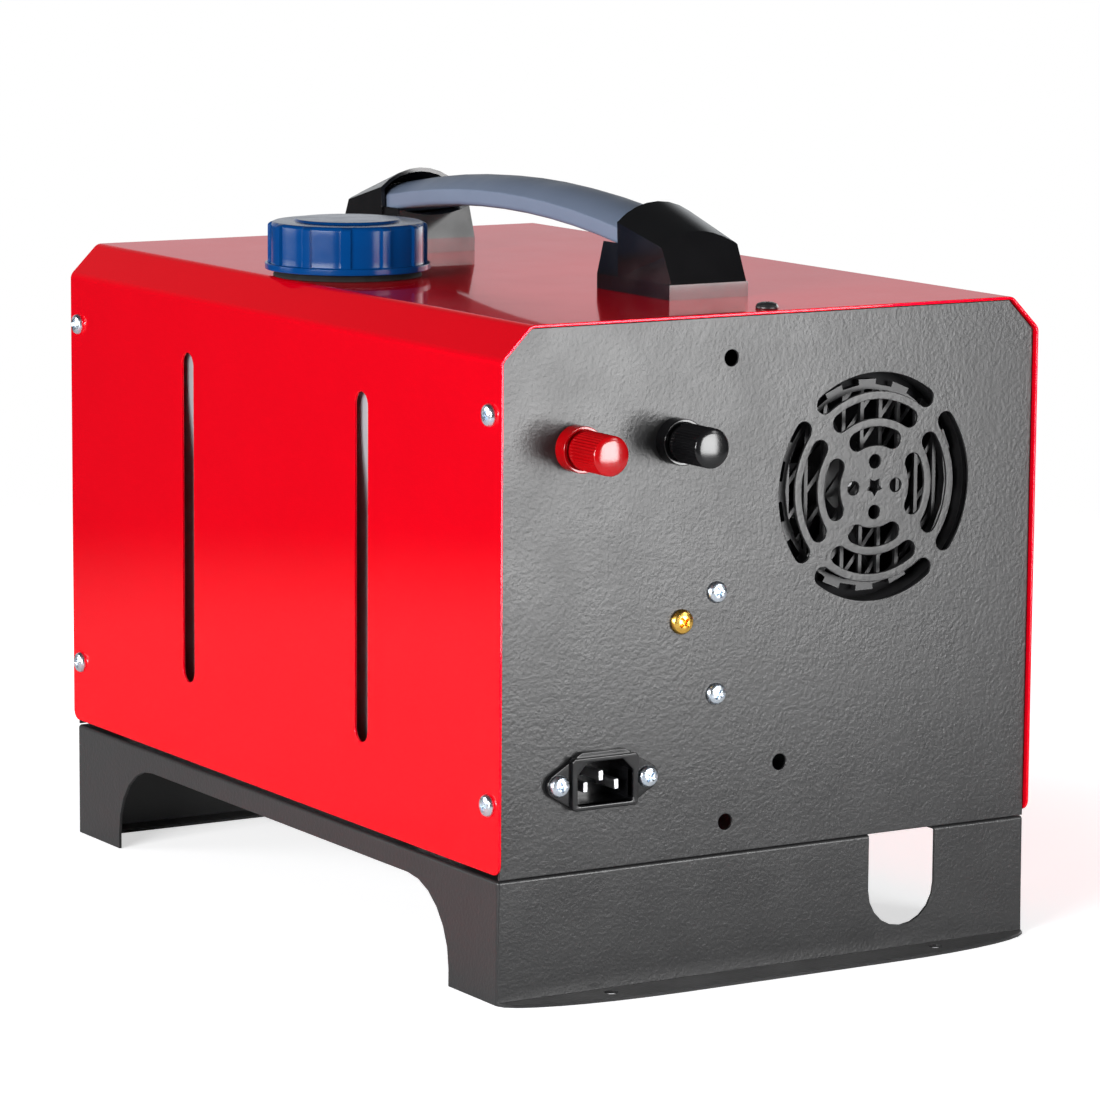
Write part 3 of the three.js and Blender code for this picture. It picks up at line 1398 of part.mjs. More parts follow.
function filterHose() {
  return rodY(hose_radius, filter_y1 + nipple_length + seat_gap, pump_y0 - nipple_length - seat_gap,
    feed_x, feed_z, tiny_sides);
}

function fuelPump() {
  const r = pump_radius;
  const n = nipple_radius;
  const l = pump_length;
  const neck = pump_neck_share * r;
  const head = pump_head_share * r;
  return turned([
    [0, -nipple_length], [n, -nipple_length], [n, 0], [neck, 0], [neck, r - neck], [r, r - neck],
    [r, l - pump_head_length], [head, l - pump_head_length], [head, l], [n, l], [n, l + nipple_length],
    [0, l + nipple_length],
  ], small_sides).translate(feed_x, pump_y0, feed_z);
}

function pumpClamp() {
  const inner = pump_radius + seat_gap;
  const outer = inner + clamp_lining;
  const middle = pump_y0 + (pump_length - pump_head_length) / 2;
  const [y0, y1] = [middle - clamp_width / 2, middle + clamp_width / 2];
  const foot_top = stand_height + clamp_lining;
  const foot = block(feed_x - clamp_foot, feed_x + clamp_foot, y0, y1, stand_height, foot_top);
  const stem = block(feed_x - clamp_foot / 2, feed_x + clamp_foot / 2, y0, y1, stand_height, feed_z);
  return cut(join(rodY(outer, y0, y1, feed_x, feed_z, small_sides), foot, stem),
    rodY(inner, y0 - overrun, y1 + overrun, feed_x, feed_z, small_sides));
}

function fuelLine() {
  const start = pump_y1 + nipple_length + seat_gap;
  const end_x = core_x - fuel_stub_offset;
  const end_y = exchangerFlangeY() + exchanger_flange_length / 2 - 2 * stub_radius;
  const end_z = gasket_top - fuel_stub_length - seat_gap;
  const r = feed_bend;
  const way = [
    [feed_x, start, feed_z], [feed_x, start + r / 2, feed_z], [feed_x, start + r, feed_z + r / 2],
    [feed_x, start + r / 2, feed_z + r],
    [(feed_x + end_x) / 2, (start + end_y) / 2, end_z - line_rise_share * r],
    [end_x, end_y, end_z - r], [end_x, end_y, end_z],
  ];
  return hose(way.map((place) => new THREE.Vector3(...place)), nipple_radius + fuel_stub_radius / 4);
}

// Power supply standing on the stand, with its terminal ledge
function powerSupply() {
  const y0 = rear_inside + supply_from_rear;
  const z1 = stand_height + supply_height;
  const box = new THREE.Shape(roundedBox(supply_left, supply_right, y0, y0 + supply_depth, overrun, 2));
  const step = block(supply_left - overrun, supply_right + overrun, y0 - overrun, y0 + supply_terminal_depth,
    z1 - supply_terminal_height, z1 + overrun);
  return cut(prismZ(box, stand_height, z1), step);
}

// Controller: a bezel in the front panel's window with a screen and four buttons
const button_names = ['power', 'up', 'down', 'set'];

function buttonPlaces() {
  const first = controller_x - ((button_names.length - 1) / 2) * button_pitch;
  return button_names.map((name, i) => [name, first + i * button_pitch, button_z]);
}

function controllerCase() {
  const [w, h] = [panel_window_width / 2, panel_window_height / 2];
  const rim = controller_rim;
  const bezel = new THREE.Shape(roundedBox(controller_x - w - rim, controller_x + w + rim,
    controller_z - h - rim, controller_z + h + rim, controller_corner));
  const [bw, bh] = [w - seat_gap, h - seat_gap];
  const body = block(controller_x - bw, controller_x + bw, front_face - controller_depth,
    front_face + controller_reach / 2, controller_z - bh, controller_z + bh);
  const front = front_face + controller_reach;
  const [sw, sh] = [screen_width / 2 + seat_gap, screen_height / 2 + seat_gap];
  const pocket = front - screen_recess - screen_thickness - seat_gap;
  const screen = block(controller_x - sw, controller_x + sw, pocket, front + overrun,
    screen_z - sh, screen_z + sh);
  const holes = buttonPlaces().map(([, x, z]) => (
    rodY(button_radius + run_gap, front - button_length, front + overrun, x, z, button_sides)));
  return cut(join(prismY(bezel, front_face, front), body), screen, ...holes);
}

function controllerScreen() {
  const front = front_face + controller_reach - screen_recess;
  const [w, h] = [screen_width / 2, screen_height / 2];
  return block(controller_x - w, controller_x + w, front - screen_thickness, front,
    screen_z - h, screen_z + h);
}

function addButtons() {
  const front = front_face + controller_reach + button_reach;
  for (const [name, x, z] of buttonPlaces()) {
    const stem = button_length + button_reach - button_travel - seat_gap;
    const round = edge_share * button_reach;
    const cap = turned([[0, -stem], [button_radius, -stem], [button_radius, -round],
      [button_radius - round, 0], [0, 0]], button_sides);
    add(`button_${name}`, cap.translate(x, front, z), 'black_plastic');
  }
}

add('base_stand', baseStand(), 'black_powder');
add('rear_panel', rearPanel(), 'black_powder');
add('front_panel', frontPanel(), 'black_powder');
add('wrap_cover', wrapCover(), 'red_paint');
addCoverScrews();
add('handle_foot_rear', handleFoot(), 'black_plastic');
add('handle_foot_front', handleFoot().rotateZ(Math.PI), 'black_plastic');
add('handle_grip', gripBar(0), 'grey_grip');
add('ac_inlet', acInlet(), 'black_plastic');
addBlades();
addPosts();
add('power_supply', powerSupply(), 'steel');
add('fuel_tank', fuelTank(), 'tank_plastic');
add('fuel_cap', fuelCap(), 'blue_plastic');
add('cap_seal', capSeal(), 'rubber');
add('tank_tap', tankTap(), 'brass');
add('tank_hose', tankHose(), 'rubber');
add('fuel_filter', fuelFilter(), 'clear_plastic');
add('filter_hose', filterHose(), 'rubber');
add('fuel_pump', fuelPump(), 'cast_aluminium');
add('pump_clamp', pumpClamp(), 'rubber');
add('fuel_line', fuelLine(), 'clear_plastic');
add('heater_bracket', heaterBracket(), 'steel');
add('flange_gasket', flangeGasket(), 'rubber');
add('heat_exchanger', heatExchanger(), 'cast_aluminium');
add('burner_tube', burnerTube(), 'steel');
add('glow_plug', glowPlug(), 'steel');
add('blower_housing', blowerHousing(), 'cast_aluminium');
add('motor', motorCan(), 'steel');
add('rotor_shaft', rotorShaft(), 'steel');
add('hot_air_fan', hotAirFan(), 'black_plastic');
add('combustion_fan', combustionFan(), 'cast_aluminium');
add('lower_shell', lowerShell(), 'black_plastic');
add('upper_shell', upperShell(), 'black_plastic');
add('intake_guard', intakeGuard(), 'black_plastic');
add('control_unit', controlUnit(), 'circuit_green');
add('outlet_collar', outletCollar(), 'black_plastic');
add('outlet_louvre', outletLouvre(), 'black_plastic');
add('controller_case', controllerCase(), 'black_plastic');
add('controller_screen', controllerScreen(), 'screen_glass');
addButtons();

export default group;
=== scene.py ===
import json
import math

import bmesh
import bpy
from mathutils import Matrix, Vector

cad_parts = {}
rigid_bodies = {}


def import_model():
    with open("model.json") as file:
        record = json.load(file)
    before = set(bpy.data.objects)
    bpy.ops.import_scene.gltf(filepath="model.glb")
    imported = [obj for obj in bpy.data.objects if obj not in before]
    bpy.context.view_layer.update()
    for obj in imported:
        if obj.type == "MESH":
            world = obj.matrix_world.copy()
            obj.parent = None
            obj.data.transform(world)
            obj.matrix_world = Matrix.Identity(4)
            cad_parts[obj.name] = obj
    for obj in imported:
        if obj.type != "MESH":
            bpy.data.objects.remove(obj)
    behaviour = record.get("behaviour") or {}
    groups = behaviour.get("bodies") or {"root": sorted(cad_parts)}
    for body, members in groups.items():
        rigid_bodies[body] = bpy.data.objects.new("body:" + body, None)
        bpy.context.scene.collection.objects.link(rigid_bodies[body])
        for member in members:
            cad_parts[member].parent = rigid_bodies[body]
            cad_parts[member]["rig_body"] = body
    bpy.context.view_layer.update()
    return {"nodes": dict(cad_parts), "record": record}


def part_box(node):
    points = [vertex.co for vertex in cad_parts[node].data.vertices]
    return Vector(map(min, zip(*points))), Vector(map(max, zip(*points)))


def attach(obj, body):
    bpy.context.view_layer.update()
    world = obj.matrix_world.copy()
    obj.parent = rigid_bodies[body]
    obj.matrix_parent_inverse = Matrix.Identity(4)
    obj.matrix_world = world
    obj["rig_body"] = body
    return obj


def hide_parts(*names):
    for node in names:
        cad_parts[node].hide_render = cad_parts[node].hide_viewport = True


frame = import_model()
nodes = frame["nodes"]

# Sizes and places are in millimetres, up to the stage, where metres begin
MM = 0.001
TAU = 2 * math.pi
QUARTER = math.pi / 2

# Cabinet: its length runs along y, and the end with the mains inlet faces -y
HALF_WIDTH = 125
HALF_LENGTH = 184
COVER_TOP = 261
COVER_BOTTOM = 50.9
SHEET = 1.2
CORNER = 13
PANEL_FACE = 182
CORE_X = 47.6
CORE_Z = 188.7
CAP_X = -82
CAP_Y = 12
POST_PLACES = {"positive": -91, "negative": -46}
POST_Z = 213
INLET_X = -78.7
INLET_Z = 83.6
INLET_SCREW_REACH = 20
SIDE_SCREW_Y = 176
SIDE_SCREW_HEIGHTS = (77.4, 227)
TOP_SCREW_Y = 175.2
PANEL_SCREWS = {"upper": (-26.2, 152.6), "lower": (-26.2, 112.6), "brass": (-42.4, 142.3)}


# Outlines, as lists of (a, b)
def arc(a, b, radius, start, end, steps):
    angles = [start + (end - start) * i / steps for i in range(steps + 1)]
    return [(a + radius * math.cos(t), b + radius * math.sin(t)) for t in angles]


def circle(a, b, radius, steps):
    return arc(a, b, radius, 0, TAU, steps)[:-1]


def rectangle(left, bottom, right, top):
    return [(left, bottom), (right, bottom), (right, top), (left, top)]


def spun(a, b, angle):
    cos, sin = math.cos(angle), math.sin(angle)
    return a * cos - b * sin, a * sin + b * cos


def smooth_step(value, start, end):
    t = min(1, max(0, (value - start) / (end - start)))
    return t * t * (3 - 2 * t)


def rounded(profile, radius, steps=4):
    """A (radius, height) profile with its inner corners rounded."""
    result = [profile[0]]
    longest_share = 0.45
    for before, here, after in zip(profile, profile[1:], profile[2:]):
        a, b, c = Vector(before), Vector(here), Vector(after)
        reach = min(radius, (a - b).length * longest_share, (c - b).length * longest_share)
        p = b + (a - b).normalized() * reach
        q = b + (c - b).normalized() * reach
        for i in range(steps + 1):
            t = i / steps
            result.append(tuple(p * (1 - t) ** 2 + b * 2 * t * (1 - t) + q * t * t))
    result.append(profile[-1])
    return result


def rounded_corners(points, radii, steps=5):
    """A closed outline with each corner rounded."""
    result = []
    for i, (point, radius) in enumerate(zip(points, radii)):
        here = Vector(point)
        before = Vector(points[i - 1])
        after = Vector(points[(i + 1) % len(points)])
        to_before, to_after = (before - here).normalized(), (after - here).normalized()
        half = to_before.angle(to_after) / 2
        reach = radius / math.tan(half)
        centre = here + (to_before + to_after).normalized() * radius / math.sin(half)
        start, end = here + to_before * reach - centre, here + to_after * reach - centre
        turn = start.angle_signed(end)
        result += [tuple(centre + Vector(spun(*start, -turn * k / steps))) for k in range(steps + 1)]
    return result


def bend_path(points, radius, steps=6):
    """A path of straight runs with round bends: returns its length, the cuts at its bends,
    and a function from the distance along it to a place and an outward normal."""
    runs = []
    places = [Vector(p) for p in points]
    start = places[0]
    for i in range(1, len(places) - 1):
        before = (places[i] - places[i - 1]).normalized()
        after = (places[i + 1] - places[i]).normalized()
        turn = before.angle_signed(after)
        reach = radius * math.tan(abs(turn) / 2)
        enter = places[i] - before * reach
        runs.append(("line", start, before, (enter - start).length))
        side = -1 if turn > 0 else 1
        centre = enter + Vector((-before.y, before.x)) * radius * side
        runs.append(("arc", centre, (enter - centre, -turn), radius * abs(turn)))
        start = places[i] + after * reach
    last = (places[-1] - places[-2]).normalized()
    runs.append(("line", start, last, (places[-1] - start).length))
    cuts, total = [], 0
    for kind, _, _, length in runs:
        if kind == "arc":
            cuts += [total + length * k / steps for k in range(steps + 1)]
        total += length

    def at(distance):
        rest = distance
        slack = 1e-6
        for i, (kind, base, extra, length) in enumerate(runs):
            if rest <= length + slack or i == len(runs) - 1:
                break
            rest -= length
        if kind == "line":
            place, along = base + extra * rest, extra
        else:
            arm, turn = extra
            spoke = Vector(spun(*arm, turn * rest / length))
            place = base + spoke
            along = Vector((-spoke.y, spoke.x)).normalized() * (1 if turn > 0 else -1)
        return place, Vector((-along.y, along.x))

    return total, cuts, at


# Meshes: they are built in millimetres, and moved() puts them in metres
WELD = 0.001
NEAR = 0.0001
FLAT = math.radians(0.5)


def new_object(name, data):
    obj = bpy.data.objects.new(name, data)
    bpy.context.scene.collection.objects.link(obj)
    return obj


def even_normals(obj):
    obj.modifiers.new("normals", "WEIGHTED_NORMAL").keep_sharp = True


def from_bmesh(name, bm, sharp=40, weighted=True, weld=True):
    """An object from a bmesh, which it frees. Edges that turn by more than sharp degrees stay sharp."""
    if weld:
        bmesh.ops.remove_doubles(bm, verts=bm.verts, dist=WELD * MM)
    bmesh.ops.recalc_face_normals(bm, faces=bm.faces)
    mesh = bpy.data.meshes.new(name)
    bm.to_mesh(mesh)
    bm.free()
    for face in mesh.polygons:
        face.use_smooth = True
    mesh.set_sharp_from_angle(angle=math.radians(sharp))
    obj = new_object(name, mesh)
    if weighted:
        even_normals(obj)
    return obj


def worked_mesh(obj):
    """A new mesh from the object, with its curve or modifiers worked in."""
    bpy.context.view_layer.update()
    graph = bpy.context.evaluated_depsgraph_get()
    return bpy.data.meshes.new_from_object(obj.evaluated_get(graph))


def boolean(obj, other, operation, use_self=False):
    """Works other into the mesh of obj, and removes other."""
    modifier = obj.modifiers.new("cut", "BOOLEAN")
    modifier.operation = operation
    modifier.object = other
    modifier.solver = "EXACT"
    modifier.use_self = use_self
    mesh = worked_mesh(obj)
    obj.modifiers.clear()
    obj.data = mesh
    bpy.data.objects.remove(other)


def merged(*parts):
    whole = bmesh.new()
    for part in parts:
        mesh = bpy.data.meshes.new("part")
        part.to_mesh(mesh)
        part.free()
        whole.from_mesh(mesh)
        bpy.data.meshes.remove(mesh)
    return whole


def plate_bmesh(loops, thickness, rim):
    """A flat plate with rounded rims and holes, its face at depth 0, as (a, b, depth)."""
    curve = bpy.data.curves.new("plate", "CURVE")
    curve.dimensions = "2D"
    curve.fill_mode = "BOTH"
    curve.bevel_depth = rim
    curve.bevel_resolution = 2
    curve.offset = -rim
    curve.extrude = thickness / 2 - rim
    for loop in loops:
        spline = curve.splines.new("POLY")
        spline.points.add(len(loop) - 1)
        for point, (a, b) in zip(spline.points, loop):
            point.co = (a, b, 0, 1)
        spline.use_cyclic_u = True
    obj = new_object("plate", curve)
    mesh = worked_mesh(obj)
    bm = bmesh.new()
    bm.from_mesh(mesh)
    bpy.data.objects.remove(obj)
    bpy.data.meshes.remove(mesh)
    bmesh.ops.remove_doubles(bm, verts=bm.verts, dist=WELD)
    for vert in bm.verts:
        vert.co.z = thickness / 2 - vert.co.z
    return bm


def lathe(profile, steps, shape=None, closed=False):
    """Rings of (radius, height) about +Z. shape(angle, radius, height) may move a ring's points."""
    bm = bmesh.new()
    rings = []
    for radius, height in [*profile, profile[0]] if closed else profile:
        if radius == 0:
            rings.append([bm.verts.new((0, 0, height))])
            continue
        ring = []
        for i in range(steps):
            angle = TAU * i / steps
            r = shape(angle, radius, height) if shape else radius
            ring.append(bm.verts.new((r * math.cos(angle), r * math.sin(angle), height)))
        rings.append(ring)
    for low, high in zip(rings, rings[1:]):
        for i in range(steps):
            j = (i + 1) % steps
            corners = [low[i % len(low)], low[j % len(low)], high[j % len(high)], high[i % len(high)]]
            corners = list(dict.fromkeys(corners))
            if len(corners) > 2:
                bm.faces.new(corners)
    return bm


def cut_across(bm, point, normal, near):
    """Adds the edges where a plane meets the mesh."""
    geometry = bm.verts[:] + bm.edges[:] + bm.faces[:]
    bmesh.ops.bisect_plane(bm, geom=geometry, plane_co=point, plane_no=normal, dist=near)


def moved(bm, place):
    for vert in bm.verts:
        vert.co = Vector(place(*vert.co)) * MM
    return bm


def folded(bm, cuts, place):
    """Cuts a flat plate along the lines a = cut, then puts each (a, b, depth) where place says."""
    for cut in cuts:
        cut_across(bm, (cut, 0, 0), (1, 0, 0), NEAR)
    return moved(bm, place)


def dissolve_flat(bm):
    bmesh.ops.dissolve_limit(bm, angle_limit=FLAT, verts=bm.verts, edges=bm.edges)
    return bm


def node_bmesh(node):
    """A CAD node's mesh with its flat faces joined, in metres."""
    bm = bmesh.new()
    bm.from_mesh(nodes[node].data)
    bmesh.ops.remove_doubles(bm, verts=bm.verts, dist=WELD * MM)
    return dissolve_flat(bm)


# Pieces
def paint(obj, look):
    obj.data.materials.clear()
    obj.data.materials.append(looks[look])


def stands_for(obj, look, node):
    """Puts a finished piece in place of a CAD node, on the node's body."""
    paint(obj, look)
    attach(obj, nodes[node]["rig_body"])
    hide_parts(node)


def added(obj, look):
    """Adds a finished piece that has no CAD node."""
    paint(obj, look)
    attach(obj, "root")


def dressed(node, look, rounding, segments=2, sharp=32, limit=28, bm=None, piece=None):
    """A copy of a CAD node, or the mesh given for it, with the edges rounded that turn by more
    than limit degrees."""
    obj = from_bmesh(piece or node + "_finish", bm or node_bmesh(node), sharp, False, False)
    bevel = obj.modifiers.new("edges", "BEVEL")
    bevel.width = rounding * MM
    bevel.segments = segments
    bevel.limit_method = "ANGLE"
    bevel.angle_limit = math.radians(limit)
    even_normals(obj)
    stands_for(obj, look, node)


# Materials
IOR = 1.5
MIX_SHARE, MIX_FIRST, MIX_SECOND, MIX_RESULT = 0, 6, 7, 2
NOISE_ROUGHNESS = 0.55
NOISE_DETAIL = 3
NOISE_LOW = 0.3
NOISE_HIGH = 0.7


def node_tree(owner):
    owner.use_nodes = True
    owner.node_tree.nodes.clear()
    return owner.node_tree


def map_range(tree, value, start, end, low, high, way="LINEAR"):
    node = tree.nodes.new("ShaderNodeMapRange")
    node.interpolation_type = way
    for name, number in (("From Min", start), ("From Max", end), ("To Min", low), ("To Max", high)):
        node.inputs[name].default_value = number
    tree.links.new(value, node.inputs["Value"])
    return node.outputs[0]


def build_look(name, colour, rough, stain, bumps, metallic=0, coat=0, coat_roughness=0.05,
               transmission=0, specular=0.5, edge_tint=(1, 1, 1)):
    """A procedural finish. rough is (patch size, low, high), stain is (patch size, colour, amount),
    and bumps are (size, height, detail)."""
    material = bpy.data.materials.new(name)
    tree = node_tree(material)
    output = tree.nodes.new("ShaderNodeOutputMaterial")
    shader = tree.nodes.new("ShaderNodeBsdfPrincipled")
    tree.links.new(shader.outputs[0], output.inputs[0])
    shader.inputs["Metallic"].default_value = metallic
    shader.inputs["Coat Weight"].default_value = coat
    shader.inputs["Coat Roughness"].default_value = coat_roughness
    shader.inputs["IOR"].default_value = IOR
    shader.inputs["Specular IOR Level"].default_value = specular
    shader.inputs["Specular Tint"].default_value = (*edge_tint, 1)
    shader.inputs["Transmission Weight"].default_value = transmission
    where = tree.nodes.new("ShaderNodeTexCoord").outputs["Object"]

    def noise(size, detail=NOISE_DETAIL):
        node = tree.nodes.new("ShaderNodeTexNoise")
        node.inputs["Scale"].default_value = 1 / (size * MM)
        node.inputs["Detail"].default_value = detail
        node.inputs["Roughness"].default_value = NOISE_ROUGHNESS
        tree.links.new(where, node.inputs["Vector"])
        return node.outputs["Fac"]

    def patches(size, low, high):
        return map_range(tree, noise(size), NOISE_LOW, NOISE_HIGH, low, high)

    size, other, amount = stain
    mix = tree.nodes.new("ShaderNodeMix")
    mix.data_type = "RGBA"
    mix.inputs[MIX_FIRST].default_value = (*colour, 1)
    mix.inputs[MIX_SECOND].default_value = (*other, 1)
    tree.links.new(patches(size, 0, amount), mix.inputs[MIX_SHARE])
    tree.links.new(mix.outputs[MIX_RESULT], shader.inputs["Base Color"])
    tree.links.new(patches(*rough), shader.inputs["Roughness"])
    normal = None
    for size, height, detail in bumps:
        bump = tree.nodes.new("ShaderNodeBump")
        bump.inputs["Strength"].default_value = 1
        bump.inputs["Distance"].default_value = height * MM
        tree.links.new(noise(size, detail), bump.inputs["Height"])
        if normal:
            tree.links.new(normal, bump.inputs["Normal"])
        normal = bump.outputs[0]
    tree.links.new(normal, shader.inputs["Normal"])
    return material


LOOKS = {
    "red_paint": dict(
        colour=(0.95, 0.0004, 0.012), stain=(120, (0.88, 0.0003, 0.010), 0.6), rough=(25, 0.162, 0.198),
        bumps=[(3.2, 0.012, 1)], metallic=0.58, coat=0.4, coat_roughness=0.03, specular=0,
        edge_tint=(1, 0.25, 0.3)),
    "black_powder": dict(
        colour=(0.014, 0.014, 0.0145), stain=(60, (0.017, 0.017, 0.0175), 0.8), rough=(30, 0.28, 0.34),
        bumps=[(1.5, 0.10, 2), (6, 0.05, 1)], specular=0.37),
    "black_gloss": dict(
        colour=(0.0035, 0.0035, 0.004), stain=(30, (0.005, 0.005, 0.0055), 0.6), rough=(14, 0.12, 0.2),
        bumps=[(9, 0.02, 1), (0.7, 0.002, 1)], specular=0.45),
    "grey_grip": dict(
        colour=(0.118, 0.150, 0.215), stain=(35, (0.104, 0.133, 0.192), 0.7), rough=(20, 0.38, 0.48),
        bumps=[(0.9, 0.006, 2)], specular=0.3),
    "blue_plastic": dict(
        colour=(0.0005, 0.034, 0.140), stain=(12, (0.0004, 0.029, 0.125), 0.7), rough=(8, 0.13, 0.2),
        bumps=[(1.2, 0.008, 2)], specular=0.12),
    "red_plastic": dict(
        colour=(0.32, 0.0003, 0.002), stain=(6, (0.27, 0.0002, 0.0015), 0.7), rough=(25, 0.144, 0.176),
        bumps=[(1, 0.004, 1)]),
    "zinc_screw": dict(
        colour=(0.72, 0.77, 0.82), stain=(3, (0.60, 0.70, 0.82), 0.8), rough=(1.5, 0.18, 0.34),
        bumps=[(0.8, 0.006, 2)], metallic=1),
    "black_screw": dict(
        colour=(0.012, 0.012, 0.013), stain=(3, (0.02, 0.02, 0.02), 0.6), rough=(25, 0.306, 0.374),
        bumps=[(0.8, 0.004, 1)], metallic=0.2),
    "brass": dict(
        colour=(0.86, 0.55, 0.12), stain=(2.5, (0.80, 0.42, 0.07), 0.8), rough=(1.5, 0.16, 0.32),
        bumps=[(0.8, 0.006, 2)], metallic=1),
    "supply_steel": dict(
        colour=(0.55, 0.56, 0.57), stain=(30, (0.48, 0.49, 0.50), 0.8), rough=(25, 0.36, 0.44),
        bumps=[(0.6, 0.004, 2)], metallic=1),
    "tank_plastic": dict(
        colour=(0.30, 0.31, 0.33), stain=(30, (0.26, 0.26, 0.27), 0.8), rough=(25, 0.315, 0.385),
        bumps=[(2.5, 0.02, 2)]),
    "rubber": dict(
        colour=(0.010, 0.010, 0.010), stain=(6, (0.018, 0.018, 0.018), 0.8), rough=(25, 0.675, 0.825),
        bumps=[(0.5, 0.01, 2)], specular=0.12),
    "clear_plastic": dict(
        colour=(0.80, 0.83, 0.85), stain=(8, (0.76, 0.80, 0.82), 0.6), rough=(25, 0.135, 0.165),
        bumps=[(2, 0.004, 1)], transmission=0.7),
    "cast_aluminium": dict(
        colour=(0.50, 0.51, 0.52), stain=(15, (0.42, 0.43, 0.44), 0.8), rough=(6, 0.45, 0.62),
        bumps=[(1.1, 0.05, 3)], metallic=1),
    "steel": dict(
        colour=(0.56, 0.57, 0.58), stain=(12, (0.50, 0.50, 0.51), 0.8), rough=(5, 0.26, 0.4),
        bumps=[(0.7, 0.004, 2)], metallic=1),
    "black_matte": dict(
        colour=(0.012, 0.012, 0.013), stain=(12, (0.018, 0.018, 0.019), 0.8), rough=(25, 0.342, 0.418),
        bumps=[(0.8, 0.012, 2)], specular=0.4),
    "circuit_green": dict(
        colour=(0.012, 0.09, 0.03), stain=(3, (0.03, 0.12, 0.05), 0.7), rough=(25, 0.315, 0.385),
        bumps=[(1.4, 0.03, 2)]),
    "screen_glass": dict(
        colour=(0.018, 0.030, 0.040), stain=(18, (0.022, 0.036, 0.046), 0.7), rough=(25, 0.072, 0.088),
        bumps=[(20, 0.004, 1)], coat=1, coat_roughness=0.02),
}
looks = {name: build_look(name, **settings) for name, settings in LOOKS.items()}

# Every CAD node first gets its slot's finish, and the pieces below replace those that show most
for entry in frame["record"]["subparts"]:
    paint(nodes[entry["node"]], entry["material_slot"])

# Cover: one red sheet folded over the top and both sides, laid flat as (along the fold path, y)
COVER_BEND = 4.5
COVER_RIM = 0.35
COVER_CORNER_RADIUS = 4.5
SIDE_SLOT_RADIUS = 5.25
SIDE_SLOT_BOTTOM = 85
SIDE_SLOT_TOP = 225
SIDE_SLOT_PLACES = (-76.6, 72.7)
COVER_SCREW_HOLE = 2.3
NECK_HOLE = 29.2


def side_slot(y):
    r = SIDE_SLOT_RADIUS
    low, high = SIDE_SLOT_BOTTOM - COVER_BOTTOM + r, SIDE_SLOT_TOP - COVER_BOTTOM - r
    return arc(high, y, r, -QUARTER, QUARTER, 12) + arc(low, y, r, QUARTER, 3 * QUARTER, 12)


def build_cover():
    x, top = HALF_WIDTH, COVER_TOP
    ridge = [(-x, COVER_BOTTOM), (-x, top - CORNER), (-x + CORNER, top), (x - CORNER, top), (x, top - CORNER),
             (x, COVER_BOTTOM)]
    length, cuts, at = bend_path(ridge, COVER_BEND)
    r = COVER_CORNER_RADIUS
    edge = HALF_LENGTH
    outline = (arc(r, -edge + r, r, math.pi, 3 * QUARTER, 6)
               + arc(length - r, -edge + r, r, 3 * QUARTER, TAU, 6)
               + arc(length - r, edge - r, r, 0, QUARTER, 6)
               + arc(r, edge - r, r, QUARTER, math.pi, 6))
    loops = [outline[::-1]]
    for y in SIDE_SLOT_PLACES:
        slot = side_slot(y)
        loops += [slot, [(length - s, t) for s, t in slot]]
    for y in (-SIDE_SCREW_Y, SIDE_SCREW_Y):
        for z in SIDE_SCREW_HEIGHTS:
            loops.append(circle(z - COVER_BOTTOM, y, COVER_SCREW_HOLE, 16))
            loops.append(circle(length - (z - COVER_BOTTOM), y, COVER_SCREW_HOLE, 16))
    middle = length / 2
    for y in (-TOP_SCREW_Y, TOP_SCREW_Y):
        loops.append(circle(middle, y, COVER_SCREW_HOLE, 16))
    loops.append(circle(middle + CAP_X, CAP_Y, NECK_HOLE, 72))

    def place(s, t, depth):
        point, normal = at(s)
        point = point - normal * depth
        return point.x, t, point.y

    bm = folded(plate_bmesh(loops, SHEET, COVER_RIM), cuts, place)
    stands_for(from_bmesh("cover_sheet", bm), "red_paint", "wrap_cover")


build_cover()

# End panels: a powder-coated plate with four return lips
PANEL_INSET = 1.5
PANEL_BOTTOM = 48.9
PANEL_RIM = 0.3
PANEL_LEG = CORNER - PANEL_INSET * (2 - math.sqrt(2))
LIP_DEPTH = 15
POST_HOLE = 5.3
PANEL_SCREW_HOLE = 2.2
VENT_HOLE = 3.2
VENT_PLACES = ((-20.5, 243.5), (4.2, 82.6), (-20.9, 61.2))
INLET_WINDOW_WIDTH = 27.6
INLET_WINDOW_HEIGHT = 20
FRONT_WINDOW = (-107, 181, -23, 229)
SPOUT_HOLE = 39.8

# Grille: a star hole, a ring of round holes and three rings of arc slots, each (radius, half angle)
STAR_TIP = 3.6
STAR_WAIST = 2.1
STAR_POINTS = 5
GRILLE_HOLE_RING = 10.1
GRILLE_HOLE = 2.75
GRILLE_SLOT_HALF = 3.7
GRILLE_SLOTS = ((20.15, math.radians(25)), (30.95, math.radians(32)), (41.65, math.radians(35.4)))


def arc_slot(radius, half, middle):
    r = GRILLE_SLOT_HALF
    a, b = middle - half, middle + half
    start = (CORE_X + radius * math.cos(a), CORE_Z + radius * math.sin(a))
    end = (CORE_X + radius * math.cos(b), CORE_Z + radius * math.sin(b))
    return (arc(CORE_X, CORE_Z, radius + r, a, b, 22) + arc(*end, r, b, b + math.pi, 12)[1:-1]
            + arc(CORE_X, CORE_Z, radius - r, b, a, 18) + arc(*start, r, a + math.pi, a + TAU, 12)[1:-1])


